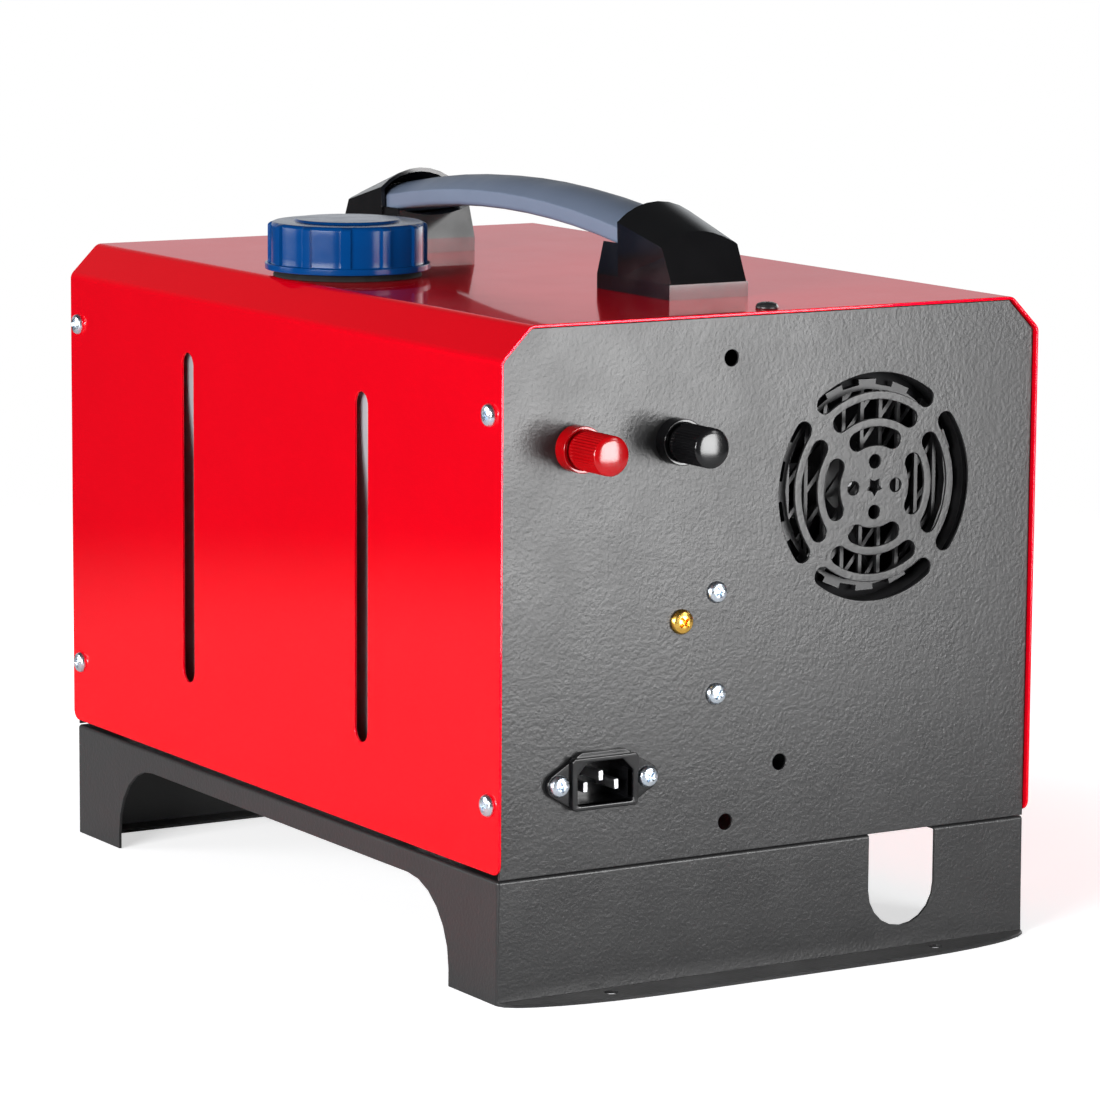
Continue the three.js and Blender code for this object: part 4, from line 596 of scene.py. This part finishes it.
def grille_loops():
    star = []
    for i in range(2 * STAR_POINTS):
        radius = STAR_WAIST if i % 2 else STAR_TIP
        turn = -QUARTER + i * math.pi / STAR_POINTS
        star.append((CORE_X + radius * math.cos(turn), CORE_Z + radius * math.sin(turn)))
    loops = [star]
    for side in range(4):
        turn = side * QUARTER
        x = CORE_X + GRILLE_HOLE_RING * math.cos(turn)
        z = CORE_Z + GRILLE_HOLE_RING * math.sin(turn)
        loops.append(circle(x, z, GRILLE_HOLE, 28))
        loops += [arc_slot(radius, half, turn) for radius, half in GRILLE_SLOTS]
    return loops


def rear_loops():
    across, up = INLET_WINDOW_WIDTH / 2, INLET_WINDOW_HEIGHT / 2
    loops = [rectangle(INLET_X - across, INLET_Z - up, INLET_X + across, INLET_Z + up)]
    loops += [circle(x, POST_Z, POST_HOLE, 28) for x in POST_PLACES.values()]
    screws = [(INLET_X - INLET_SCREW_REACH, INLET_Z), (INLET_X + INLET_SCREW_REACH, INLET_Z)]
    screws += PANEL_SCREWS.values()
    loops += [circle(x, z, PANEL_SCREW_HOLE, 28) for x, z in screws]
    return loops + [circle(x, z, VENT_HOLE, 28) for x, z in VENT_PLACES]


def lip_lines():
    """Each lip's two ends, and the way to the inside."""
    x, top, leg, bottom = HALF_WIDTH - PANEL_INSET, COVER_TOP - PANEL_INSET, PANEL_LEG, PANEL_BOTTOM
    return [((-x, bottom + leg), (-x, top - leg), (1, 0)), ((x, top - leg), (x, bottom + leg), (-1, 0)),
            ((-x + leg, top), (x - leg, top), (0, -1)), ((x - leg, bottom), (-x + leg, bottom), (0, 1))]


def build_panel(piece, node, facing, holes):
    face = facing * PANEL_FACE
    x, top, leg = HALF_WIDTH - PANEL_INSET, COVER_TOP - PANEL_INSET, PANEL_LEG
    outline = [(-x, PANEL_BOTTOM), (x, PANEL_BOTTOM), (x, top - leg), (x - leg, top), (-x + leg, top),
               (-x, top - leg)]
    plate = plate_bmesh([outline] + holes, SHEET, PANEL_RIM)
    bm = moved(plate, lambda a, b, depth: (a, face - facing * depth, b))
    for *ends, (nx, nz) in lip_lines():
        corners = []
        for depth in (SHEET / 2, LIP_DEPTH):
            for px, pz in ends:
                for inward in (0, SHEET):
                    corner = (px + nx * inward, face - facing * depth, pz + nz * inward)
                    corners.append(bm.verts.new(Vector(corner) * MM))
        for quad in ((0, 1, 3, 2), (4, 6, 7, 5), (0, 4, 5, 1), (2, 3, 7, 6), (0, 2, 6, 4), (1, 5, 7, 3)):
            bm.faces.new([corners[i] for i in quad])
    stands_for(from_bmesh(piece, bm, weld=False), "black_powder", node)


build_panel("rear_plate", "rear_panel", -1, grille_loops() + rear_loops())
front_loops = [circle(CORE_X, CORE_Z, SPOUT_HOLE, 72), rectangle(*FRONT_WINDOW)]
build_panel("front_plate", "front_panel", 1, front_loops)

# Stand: a folded tray, a copy of its solid with rounded folds
STAND_HALF = 124.2
STAND_END = 181.8
STAND_TOP = 48.6
STAND_FOLD = 1.4
STAND_TOLERANCE = 0.02
SHORTEST_FOLD = 0.1


def build_base():
    bm = node_bmesh("base_stand")

    def on(edge, axis, size):
        return all(abs(abs(vert.co[axis]) - size * MM) < STAND_TOLERANCE * MM for vert in edge.verts)

    folds = []
    for edge in bm.edges:
        on_side, on_end, on_top = on(edge, 0, STAND_HALF), on(edge, 1, STAND_END), on(edge, 2, STAND_TOP)
        upright = abs(edge.verts[0].co.z - edge.verts[1].co.z) > SHORTEST_FOLD * MM
        if (on_top and (on_side or on_end)) or (on_side and on_end and upright):
            folds.append(edge)
    bmesh.ops.bevel(bm, geom=folds, offset=STAND_FOLD * MM, offset_type="OFFSET", segments=4, profile=0.5,
                    affect="EDGES", clamp_overlap=False)
    dressed("base_stand", "black_powder", rounding=0.22, sharp=40, limit=40, bm=bm, piece="stand_finish")


build_base()

# Screws: a pan head with a cross recess
HEAD_PROFILE = [(0, 0), (4.5, 0), (4.5, 0.7), (3.9, 1.9), (2.2, 2.5), (0, 2.6)]
HEAD_ROUNDING = 0.5
# Each end of the recess: its height, half its length and half its width
RECESS_ENDS = ((0.9, 1.2, 0.35), (3.2, 2.9, 0.75))
# Each cross recess of a side screw stands at its own angle
FIRST_RECESS_TURN = 0.4
RECESS_TURN_STEP = 1.1
PLATED_SCALE = 0.95
BRASS_SCALE = 1.1
INLET_FACE = 184.5


def screw_mesh():
    head = from_bmesh("screw_head", lathe(rounded(HEAD_PROFILE, HEAD_ROUNDING), 40), 50, False)
    bm = bmesh.new()
    for turn in (0, QUARTER):
        rings = []
        for z, length, width in RECESS_ENDS:
            ring = [spun(a, b, turn) for a, b in rectangle(-length, -width, length, width)]
            rings.append([bm.verts.new((a, b, z)) for a, b in ring])
        bottom, top = rings
        bm.faces.new(bottom[::-1])
        bm.faces.new(top)
        for i in range(4):
            j = (i + 1) % 4
            bm.faces.new((bottom[i], bottom[j], top[j], top[i]))
    boolean(head, from_bmesh("screw_cutter", bm, 30, False, False), "DIFFERENCE", use_self=True)
    mesh = head.data
    bpy.data.objects.remove(head)
    return mesh


def screw(piece, place, facing, turn, scale=1.0):
    """A screw head at place that faces +z, or along x or y by facing's sign."""
    bm = bmesh.new()
    bm.from_mesh(head_mesh)
    x, y, z = place
    side = -1 if facing.startswith("-") else 1
    for vert in bm.verts:
        a, b, c = vert.co * scale
        a, b = spun(a, b, turn)
        if facing == "z":
            spot = (x + a, y + b, z + c)
        elif facing.endswith("x"):
            spot = (x + side * c, y + side * a, z + b)
        else:
            spot = (x - side * a, y + side * c, z + b)
        vert.co = Vector(spot) * MM
    obj = from_bmesh(piece, bm, 35, False, False)
    even_normals(obj)
    return obj


def build_side_screws():
    ends = (-SIDE_SCREW_Y, SIDE_SCREW_Y)
    places = [(side, y, z) for side in (-1, 1) for y in ends for z in SIDE_SCREW_HEIGHTS]
    for count, (side, y, z) in enumerate(places, 1):
        facing = "x" if side > 0 else "-x"
        turn = FIRST_RECESS_TURN + RECESS_TURN_STEP * count
        obj = screw(f"side_screw_{count}", (side * HALF_WIDTH, y, z), facing, turn)
        stands_for(obj, "zinc_screw", f"cover_screw_{count}")


def build_top_screws():
    for end, y, turn in (("rear", -TOP_SCREW_Y, 0.5), ("front", TOP_SCREW_Y, 1.1)):
        obj = screw(f"cover_top_screw_{end}", (0, y, COVER_TOP), "z", turn)
        stands_for(obj, "black_screw", f"top_screw_{end}")


def build_rear_screws():
    for name, look, turn, scale in (("upper", "zinc_screw", 0.4, PLATED_SCALE),
                                    ("lower", "zinc_screw", 1.0, PLATED_SCALE),
                                    ("brass", "brass", 0.7, BRASS_SCALE)):
        x, z = PANEL_SCREWS[name]
        added(screw(f"panel_screw_{name}", (x, -PANEL_FACE, z), "-y", turn, scale), look)
    for name, side, turn in (("left", -1, 0.2), ("right", 1, 0.9)):
        place = (INLET_X + side * INLET_SCREW_REACH, -INLET_FACE, INLET_Z)
        added(screw(f"inlet_screw_{name}", place, "-y", turn, PLATED_SCALE), "zinc_screw")


head_mesh = screw_mesh()
build_side_screws()
build_top_screws()
build_rear_screws()
bpy.data.meshes.remove(head_mesh)

# Battery posts: a collar, a washer and a knob with fine flutes and a low crown
COLLAR_PROFILE = [(3.3, 0), (9.0, 0), (9.0, 6.5), (7.65, 6.5), (7.65, 5.6), (3.3, 5.6)]
COLLAR_ROUNDING = 0.35
WASHER_PROFILE = [(3.3, 0), (6.8, 0), (6.8, 2.0), (3.3, 2.0)]
WASHER_ROUNDING = 0.3
KNOB_RADIUS = 7.75
KNOB_BACK = [(3.4, 0), (7.3, 0), (KNOB_RADIUS, 0.5), (KNOB_RADIUS, 1.2)]
# The crown's (radius, distance below the tip)
KNOB_CROWN = [(7.7, 1.4), (7.45, 1.1), (6.9, 0.78), (5.6, 0.48), (3.9, 0.22), (2, 0.06), (0, 0)]
KNOB_STRAIGHT_ENDS = 2.9
KNOB_RINGS = 24
FLUTES = 40
FLUTE_DEPTH = 0.45
FLUTE_START = 0.9
FLUTE_END = 17.2
FLUTE_INNER = 7
FLUTE_SHARPNESS = 0.8


def about_post(x, bm, back):
    return moved(bm, lambda a, b, height: (x + a, back - height, POST_Z + b))


def fluted(angle, radius, height):
    if FLUTE_START < height < FLUTE_END and radius > FLUTE_INNER:
        return radius - FLUTE_DEPTH * (0.5 + 0.5 * math.cos(angle * FLUTES)) ** FLUTE_SHARPNESS
    return radius


def build_post(name, x, look):
    collar = about_post(x, lathe(rounded(COLLAR_PROFILE, COLLAR_ROUNDING), 64), -PANEL_FACE)
    stands_for(from_bmesh(f"collar_{name}", collar), look, f"post_collar_{name}")
    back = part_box(f"post_washer_{name}")[1].y / MM
    washer = about_post(x, lathe(rounded(WASHER_PROFILE, WASHER_ROUNDING), 48, closed=True), back)
    stands_for(from_bmesh(f"washer_{name}", washer), look, f"post_washer_{name}")
    tip, back = (corner.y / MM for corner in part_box(f"post_knob_{name}"))
    length = back - tip
    straight = length - KNOB_STRAIGHT_ENDS
    side = [(KNOB_RADIUS, KNOB_BACK[-1][1] + straight * i / KNOB_RINGS) for i in range(1, KNOB_RINGS + 1)]
    crown = [(radius, length - below) for radius, below in KNOB_CROWN]
    knob = about_post(x, lathe(KNOB_BACK + side + crown, 240, fluted), back)
    stands_for(from_bmesh(f"knob_{name}", knob, 60, False), look, f"post_knob_{name}")


build_post("positive", POST_PLACES["positive"], "red_plastic")
build_post("negative", POST_PLACES["negative"], "black_gloss")

# Filler cap: twelve broad ribs on its side, a rounded shoulder and a raised disc
CAP_BORE = 28.3
CAP_FOOT = 34
CAP_FOOT_HEIGHT = 2.6
CAP_RADIUS = 31.7
CAP_FILLET = 0.2
CAP_FILLET_Z = 2.62
CAP_SIDE_FROM = 3
CAP_SHOULDER = 1.8
CAP_SHOULDER_Z = 17.6
CAP_CEILING = 16.6
CAP_DISC = [(22.6, 19.5), (21.9, 19.75), (21.5, 20.3), (20.9, 20.5), (0, 20.5)]
CAP_ROUNDING = 0.4
RIBS = 12
RIB_REACH = 1.1
RIB_WIDTH = 4.2
RIB_EDGE = 0.35
RIB_SHOULDER = 2.2
RIB_START = 2.5
RIB_END = 19.2
RIB_FADE = 1.2


def ribbed(angle, radius, height):
    inner, outer = CAP_RADIUS - RIB_SHOULDER, CAP_RADIUS + CAP_FILLET
    if not inner <= radius <= outer or height < RIB_START:
        return radius
    step = TAU / RIBS
    off = CAP_RADIUS * abs((angle + step / 2) % step - step / 2)
    rise = smooth_step(RIB_WIDTH / 2 - off, -RIB_EDGE / 2, RIB_EDGE / 2)
    fade = min(1, max(0, (RIB_END - height) / RIB_FADE))
    return radius + RIB_REACH * rise * math.sqrt(fade)


def build_cap():
    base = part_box("fuel_cap")[0].z / MM
    foot = [(CAP_BORE, 0), (CAP_FOOT, 0), (CAP_FOOT, CAP_FOOT_HEIGHT), (CAP_RADIUS, CAP_FOOT_HEIGHT)]
    profile = rounded(foot, CAP_ROUNDING)[:-1] + [(CAP_RADIUS + CAP_FILLET, CAP_FILLET_Z)]
    rise = CAP_SHOULDER_Z - CAP_SIDE_FROM
    profile += [(CAP_RADIUS, CAP_SIDE_FROM + rise * i / 6) for i in range(7)]
    profile += [(CAP_RADIUS - CAP_SHOULDER * (1 - math.cos(a)), CAP_SHOULDER_Z + CAP_SHOULDER * math.sin(a))
                for a in (QUARTER * i / 6 for i in range(1, 7))]
    outside = lathe(profile + CAP_DISC, 360, ribbed)
    inside = lathe([(CAP_BORE, 0), (CAP_BORE, CAP_CEILING), (0, CAP_CEILING)], 72)
    bm = moved(merged(outside, inside), lambda a, b, height: (CAP_X + a, CAP_Y + b, base + height))
    stands_for(from_bmesh("cap_finish", bm), "blue_plastic", "fuel_cap")


build_cap()

# Grommet between the filler neck and the edge of the cover's hole
GROMMET_PROFILE = [(27.9, 259), (29.1, 259), (29.1, 261.05), (30.6, 261.05), (30.6, 261.9), (29.2, 263.5),
                   (27.9, 263.5)]
GROMMET_ROUNDING = 0.35


def build_grommet():
    ring = lathe(rounded(GROMMET_PROFILE, GROMMET_ROUNDING), 96, closed=True)
    bm = moved(ring, lambda a, b, height: (CAP_X + a, CAP_Y + b, height))
    added(from_bmesh("neck_grommet", bm), "rubber")


build_grommet()

# Tank: blow moulded, its side full near the top and hollow below, as the slots show it
TANK_TOP = 241
TANK_END_MARGIN = 14
TANK_RIM_MARGIN = 5
TANK_SIDE_MARGIN = 0.05
TANK_BULGE = 1.6
TANK_HOLLOW = 3.2
TANK_FULL_FROM = 165
TANK_FULL_TO = 212
TANK_END_FADE = 8
TANK_TOP_FADE = 9
TANK_BOTTOM_FADE = 25
TANK_CUTS_UP = 30
TANK_CUTS_ALONG = 24


def build_tank():
    bm = node_bmesh("fuel_tank")
    low, high = (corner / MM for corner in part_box("fuel_tank"))
    rear, front = low.y + TANK_END_MARGIN, high.y - TANK_END_MARGIN
    bottom, top = low.z + TANK_RIM_MARGIN, TANK_TOP - TANK_RIM_MARGIN
    for count, start, end, axis in ((TANK_CUTS_UP, bottom, top, (0, 0, 1)),
                                    (TANK_CUTS_ALONG, rear, front, (0, 1, 0))):
        for i in range(1, count):
            at = start + (end - start) * i / count
            cut_across(bm, Vector(axis) * at * MM, axis, NEAR * MM)
    for vert in bm.verts:
        x, y, z = (v / MM for v in vert.co)
        if x > low.x + TANK_SIDE_MARGIN:
            continue
        edge = min(smooth_step(y, rear, rear + TANK_END_FADE), smooth_step(front - y, 0, TANK_END_FADE))
        above = smooth_step(z, TANK_FULL_FROM, TANK_FULL_TO)
        full = above * smooth_step(top - z, 0, TANK_TOP_FADE)
        hollow = smooth_step(z, bottom, bottom + TANK_BOTTOM_FADE) * (1 - above)
        vert.co.x += edge * (TANK_HOLLOW * hollow - TANK_BULGE * full) * MM
    stands_for(from_bmesh("tank_finish", bm, weld=False), "tank_plastic", "fuel_tank")


build_tank()

# Handle: copies of its solids with rounded edges, the inner faces of the feet a little steeper
FOOT_BAND_TOP = 267
FOOT_BLOCK_TOP = 280.4
FOOT_INNER = 80
FOOT_LEAN = 6
FOOT_LEAN_LESS = 2.4
FOOT_FACE_REACH = 0.3
FOOT_SLACK = 0.01


def foot_bmesh(node, facing):
    bm = node_bmesh(node)
    for vert in bm.verts:
        y, z = facing * vert.co.y / MM, vert.co.z / MM
        share = (z - FOOT_BAND_TOP) / (FOOT_BLOCK_TOP - FOOT_BAND_TOP)
        off_face = abs(y + FOOT_INNER + FOOT_LEAN * share)
        if FOOT_SLACK < share < 1 + FOOT_SLACK and off_face < FOOT_FACE_REACH:
            vert.co.y += facing * FOOT_LEAN_LESS * share * MM
    return bm


for node, facing in (("handle_foot_rear", 1), ("handle_foot_front", -1)):
    dressed(node, "black_gloss", rounding=0.55, segments=3, bm=foot_bmesh(node, facing))
dressed("handle_grip", "grey_grip", rounding=0.5, sharp=45, limit=34)

# Mains inlet: an eared flange, a rounded bezel and a six-sided recess with its back wall
EAR_RADIUS = 5
EAR_SLOPE = math.pi / 3
FLANGE_TOP = [(9.8, 12), (-9.8, 12)]
FLANGE_BOTTOM = [(-12, -10.6), (12, -10.6)]
FLANGE_THICKNESS = 2.5
FLANGE_ROUNDING = 0.3
INLET_BOLT_HOLE = 2.2
BEZEL = rectangle(-14.8, -10.3, 14.8, 10.3)
BEZEL_CORNER_RADIUS = 1.7
BEZEL_THICKNESS = 2.6
BEZEL_ROUNDING = 0.45
BEZEL_FACE = 186.3
SHELL = rectangle(-13.5, -9.7, 13.5, 9.7)
SHELL_DEPTH = 16
SHELL_ROUNDING = 0.2
SHELL_FACE = 185.3
BACK_WALL = 3
MOUTH = [(-12.5, -8.4), (12.5, -8.4), (12.5, 3.6), (7.8, 8.4), (-7.8, 8.4), (-12.5, 3.6)]
MOUTH_RADII = [1.4, 1.4, 0.6, 0.6, 0.6, 0.6]
BLADE_PLACES = ((-7, -2), (7, -2), (0, 2))
BLADE_SLOT_HALF = (1.1, 2.1)


def inlet_layers():
    """Each layer's outline, holes, thickness, rounding of the rim and the y of its face."""
    reach, slope = INLET_SCREW_REACH, EAR_SLOPE
    flange = (arc(reach, 0, EAR_RADIUS, -slope, slope, 8) + FLANGE_TOP
              + arc(-reach, 0, EAR_RADIUS, 2 * slope, 4 * slope, 8) + FLANGE_BOTTOM)
    bolts = [circle(side * reach, 0, INLET_BOLT_HOLE, 20) for side in (-1, 1)]
    bezel = rounded_corners(BEZEL, [BEZEL_CORNER_RADIUS] * 4)
    mouth = rounded_corners(MOUTH, MOUTH_RADII)
    across, up = BLADE_SLOT_HALF
    slots = [rectangle(u - across, w - up, u + across, w + up) for u, w in BLADE_PLACES]
    return ((flange, [mouth, *bolts], FLANGE_THICKNESS, FLANGE_ROUNDING, -INLET_FACE),
            (bezel, [mouth], BEZEL_THICKNESS, BEZEL_ROUNDING, -BEZEL_FACE),
            (SHELL, [mouth], SHELL_DEPTH, SHELL_ROUNDING, -SHELL_FACE),
            (SHELL, slots, BACK_WALL, SHELL_ROUNDING, -SHELL_FACE + SHELL_DEPTH))


def build_inlet():
    layers = []
    for outline, holes, thickness, rim, face in inlet_layers():
        loops = [[(INLET_X + u, INLET_Z + w) for u, w in loop] for loop in (outline, *holes)]
        plate = plate_bmesh(loops, thickness, rim)
        layers.append(moved(plate, lambda a, b, depth, face=face: (a, face + depth, b)))
    stands_for(from_bmesh("inlet_finish", merged(*layers), weld=False), "black_gloss", "ac_inlet")


build_inlet()
for name in ("line", "neutral", "earth"):
    dressed(f"ac_blade_{name}", "steel", rounding=0.25)

# Intake guard: the lattice ends at the toothed ring, and a cone joins the ring to the duct
GUARD_BORE = 45.6
GUARD_RING = 40
GUARD_TEETH = 42.2
GUARD_DEPTH = 12
GUARD_TOOTH_DEPTH = 5.15
CONE_FRONT = 4.6
CONE_BACK = 9
CONE_WALL = 1
OVERRUN = 1
# Gaps that keep the cut clear of the guard's own faces
BORE_GAP = 0.2
RING_GAP = 0.05
TEETH_GAP = 0.1


def build_guard():
    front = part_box("intake_guard")[0].y / MM

    def ring(name, profile):
        bm = lathe(profile, 96, closed=True)
        bm = moved(bm, lambda a, b, depth: (CORE_X + a, front + depth, CORE_Z + b))
        return from_bmesh(name, bm, weighted=False)

    outer, inner, teeth = GUARD_BORE + BORE_GAP, GUARD_RING + RING_GAP, GUARD_TEETH + TEETH_GAP
    back = GUARD_DEPTH + OVERRUN
    clearing = [(inner, GUARD_TOOTH_DEPTH), (teeth, GUARD_TOOTH_DEPTH), (teeth, -OVERRUN), (outer, -OVERRUN),
                (outer, back), (inner, back)]
    ring_end, duct_end = GUARD_RING - OVERRUN, GUARD_BORE + OVERRUN
    cone = [(ring_end, CONE_FRONT), (duct_end, CONE_BACK), (duct_end, CONE_BACK + CONE_WALL),
            (ring_end, CONE_FRONT + CONE_WALL)]
    guard = from_bmesh("guard", node_bmesh("intake_guard"), weighted=False, weld=False)
    boolean(guard, ring("clearing", clearing), "DIFFERENCE")
    boolean(guard, ring("cone", cone), "UNION")
    bm = bmesh.new()
    bm.from_mesh(guard.data)
    bpy.data.objects.remove(guard)
    dressed("intake_guard", "black_matte", rounding=0.3, bm=dissolve_flat(bm))


build_guard()

# Hot-air end: copies of its solids with rounded edges
dressed("outlet_collar", "black_matte", rounding=0.35)
dressed("outlet_louvre", "black_matte", rounding=0.25)
dressed("controller_case", "black_gloss", rounding=0.5, segments=3)
for name in ("power", "up", "down", "set"):
    dressed(f"button_{name}", "rubber", rounding=0.3)

# Stage, in metres from here: a pale table top that fades out, a white backdrop and soft lamps
FLOOR_REACH = 6
FLOOR_DROP = 0.0002
FLOOR_COLOUR = (0.80, 0.80, 0.81)
TABLE_NEAR = 0.7
TABLE_FAR = 1.15
GLOW_NEAR = 0.2
GLOW_FAR = 0.62
GLOW_LEVEL = 0.6
BACKDROP_SHINE = 0.72
BACKDROP_WAY = (0.515, 0.857, 0)
BACKDROP_SIDE = (0.5, 0.85)
BACKDROP_FOOT = (-0.02, 0.04)
BACKDROP_HEAD = (0.2, 0.6)
ROOM_LIGHT = 0.07
ROOM_COLOUR = (0.94, 0.97, 1.0)
WHITE = (1, 1, 1, 1)
# Each lamp's name, place, target, width, height and radiance
LAMPS = (
    ("softbox_left", (-1.9, -0.8, 0.5), (0, 0, 0.2), 1.2, 0.65, 28),
    ("softbox_front", (0.6, -1.62, 0.2), (0, -0.18, 0.24), 0.78, 0.72, 18.5),
    ("softbox_high", (1.06, -1.55, 0.92), (0, 0.08, 0.29), 0.35, 0.35, 7),
    ("softbox_right", (1.9, 0.5, 0.4), (0, 0, 0.15), 1.2, 1.0, 5),
    ("softbox_back", (-1.75, 1.15, 0.5), (0, 0, 0.2), 0.9, 0.8, 8))


def ramp(tree, value, start, end, low, high):
    return map_range(tree, value, start, end, low, high, "SMOOTHSTEP")


def combine(tree, operation, first, second):
    node = tree.nodes.new("ShaderNodeMath")
    node.operation = operation
    for socket, value in zip(node.inputs, (first, second)):
        if isinstance(value, (int, float)):
            socket.default_value = value
        else:
            tree.links.new(value, socket)
    return node.outputs[0]


def shader_node(tree, kind, *inputs):
    """A shader whose last inputs are linked to other shaders."""
    node = tree.nodes.new(kind)
    for socket, shader in zip(list(node.inputs)[-len(inputs):], inputs):
        tree.links.new(shader.outputs[0], socket)
    return node


def build_floor():
    mesh = bpy.data.meshes.new("floor")
    corners = rectangle(-FLOOR_REACH, -FLOOR_REACH, FLOOR_REACH, FLOOR_REACH)
    mesh.from_pydata([(x, y, 0) for x, y in corners], [], [(0, 1, 2, 3)])
    floor = new_object("floor", mesh)
    floor.location.z = -FLOOR_DROP
    material = bpy.data.materials.new("floor")
    tree = node_tree(material)
    distance = tree.nodes.new("ShaderNodeVectorMath")
    distance.operation = "LENGTH"
    tree.links.new(tree.nodes.new("ShaderNodeTexCoord").outputs["Object"], distance.inputs[0])
    distance = distance.outputs["Value"]
    diffuse = tree.nodes.new("ShaderNodeBsdfDiffuse")
    diffuse.inputs["Color"].default_value = (*FLOOR_COLOUR, 1)
    glow = tree.nodes.new("ShaderNodeEmission")
    glow.inputs["Color"].default_value = WHITE
    level = ramp(tree, distance, GLOW_NEAR, GLOW_FAR, GLOW_LEVEL, 1)
    seen = tree.nodes.new("ShaderNodeLightPath").outputs["Is Camera Ray"]
    tree.links.new(combine(tree, "MULTIPLY", level, seen), glow.inputs["Strength"])
    table = shader_node(tree, "ShaderNodeAddShader", diffuse, glow)
    beyond = tree.nodes.new("ShaderNodeBsdfTransparent")
    edge = shader_node(tree, "ShaderNodeMixShader", table, beyond)
    tree.links.new(ramp(tree, distance, TABLE_NEAR, TABLE_FAR, 0, 1), edge.inputs[0])
    output = tree.nodes.new("ShaderNodeOutputMaterial")
    tree.links.new(edge.outputs[0], output.inputs[0])
    floor.data.materials.append(material)


def build_world():
    world = bpy.data.worlds.new("studio")
    bpy.context.scene.world = world
    tree = node_tree(world)
    path = tree.nodes.new("ShaderNodeLightPath").outputs
    direction = tree.nodes.new("ShaderNodeTexCoord").outputs["Generated"]
    split = tree.nodes.new("ShaderNodeSeparateXYZ")
    tree.links.new(direction, split.inputs[0])
    height = split.outputs["Z"]
    backdrop = combine(tree, "MULTIPLY", ramp(tree, height, *BACKDROP_FOOT, 0, 1),
                       ramp(tree, height, *BACKDROP_HEAD, 1, 0))
    behind = tree.nodes.new("ShaderNodeVectorMath")
    behind.operation = "DOT_PRODUCT"
    behind.inputs[1].default_value = BACKDROP_WAY
    tree.links.new(direction, behind.inputs[0])
    side = ramp(tree, behind.outputs["Value"], *BACKDROP_SIDE, 0, 1)
    shine = combine(tree, "MULTIPLY", combine(tree, "MULTIPLY", backdrop, side), BACKDROP_SHINE)
    shown = combine(tree, "MULTIPLY", shine, path["Is Glossy Ray"])
    dim = tree.nodes.new("ShaderNodeBackground")
    dim.inputs["Color"].default_value = (*ROOM_COLOUR, 1)
    tree.links.new(combine(tree, "ADD", shown, ROOM_LIGHT), dim.inputs["Strength"])
    bright = tree.nodes.new("ShaderNodeBackground")
    bright.inputs["Color"].default_value = WHITE
    bright.inputs["Strength"].default_value = 1
    mix = shader_node(tree, "ShaderNodeMixShader", dim, bright)
    seen = combine(tree, "MAXIMUM", path["Is Camera Ray"], path["Is Transmission Ray"])
    tree.links.new(seen, mix.inputs[0])
    output = tree.nodes.new("ShaderNodeOutputWorld")
    tree.links.new(mix.outputs[0], output.inputs[0])


def build_lamp(name, place, target, width, height, radiance):
    data = bpy.data.lights.new(name, "AREA")
    data.shape = "RECTANGLE"
    data.size = width
    data.size_y = height
    data.energy = radiance * math.pi * width * height
    obj = new_object(name, data)
    obj.location = place
    obj.rotation_euler = (Vector(target) - Vector(place)).to_track_quat("-Z", "Y").to_euler()


build_floor()
build_world()
for lamp in LAMPS:
    build_lamp(*lamp)

# Camera: the photograph's place and lens
EYE = Vector((-1.0601, -1.7545, 0.4634))
TARGET = Vector((0.009055, 0.00006, 0.14138))
ROLL = math.radians(0.39)
SENSOR = 36
PHOTO_WIDTH_PIXELS = 1100
FOCAL_PIXELS = 4923.9
CLIP_END = 30


def build_camera():
    forward = (TARGET - EYE).normalized()
    level = forward.cross(Vector((0, 0, 1))).normalized()
    above = level.cross(forward)
    right = level * math.cos(ROLL) + above * math.sin(ROLL)
    up = right.cross(forward)
    data = bpy.data.cameras.new("camera")
    data.sensor_width = SENSOR
    data.lens = SENSOR * FOCAL_PIXELS / PHOTO_WIDTH_PIXELS
    data.clip_end = CLIP_END
    camera = new_object("camera", data)
    axes = Matrix((right, up, -forward)).transposed()
    camera.matrix_world = Matrix.Translation(EYE) @ axes.to_4x4()
    bpy.context.scene.camera = camera


build_camera()
bpy.context.scene.view_settings.view_transform = "Standard"
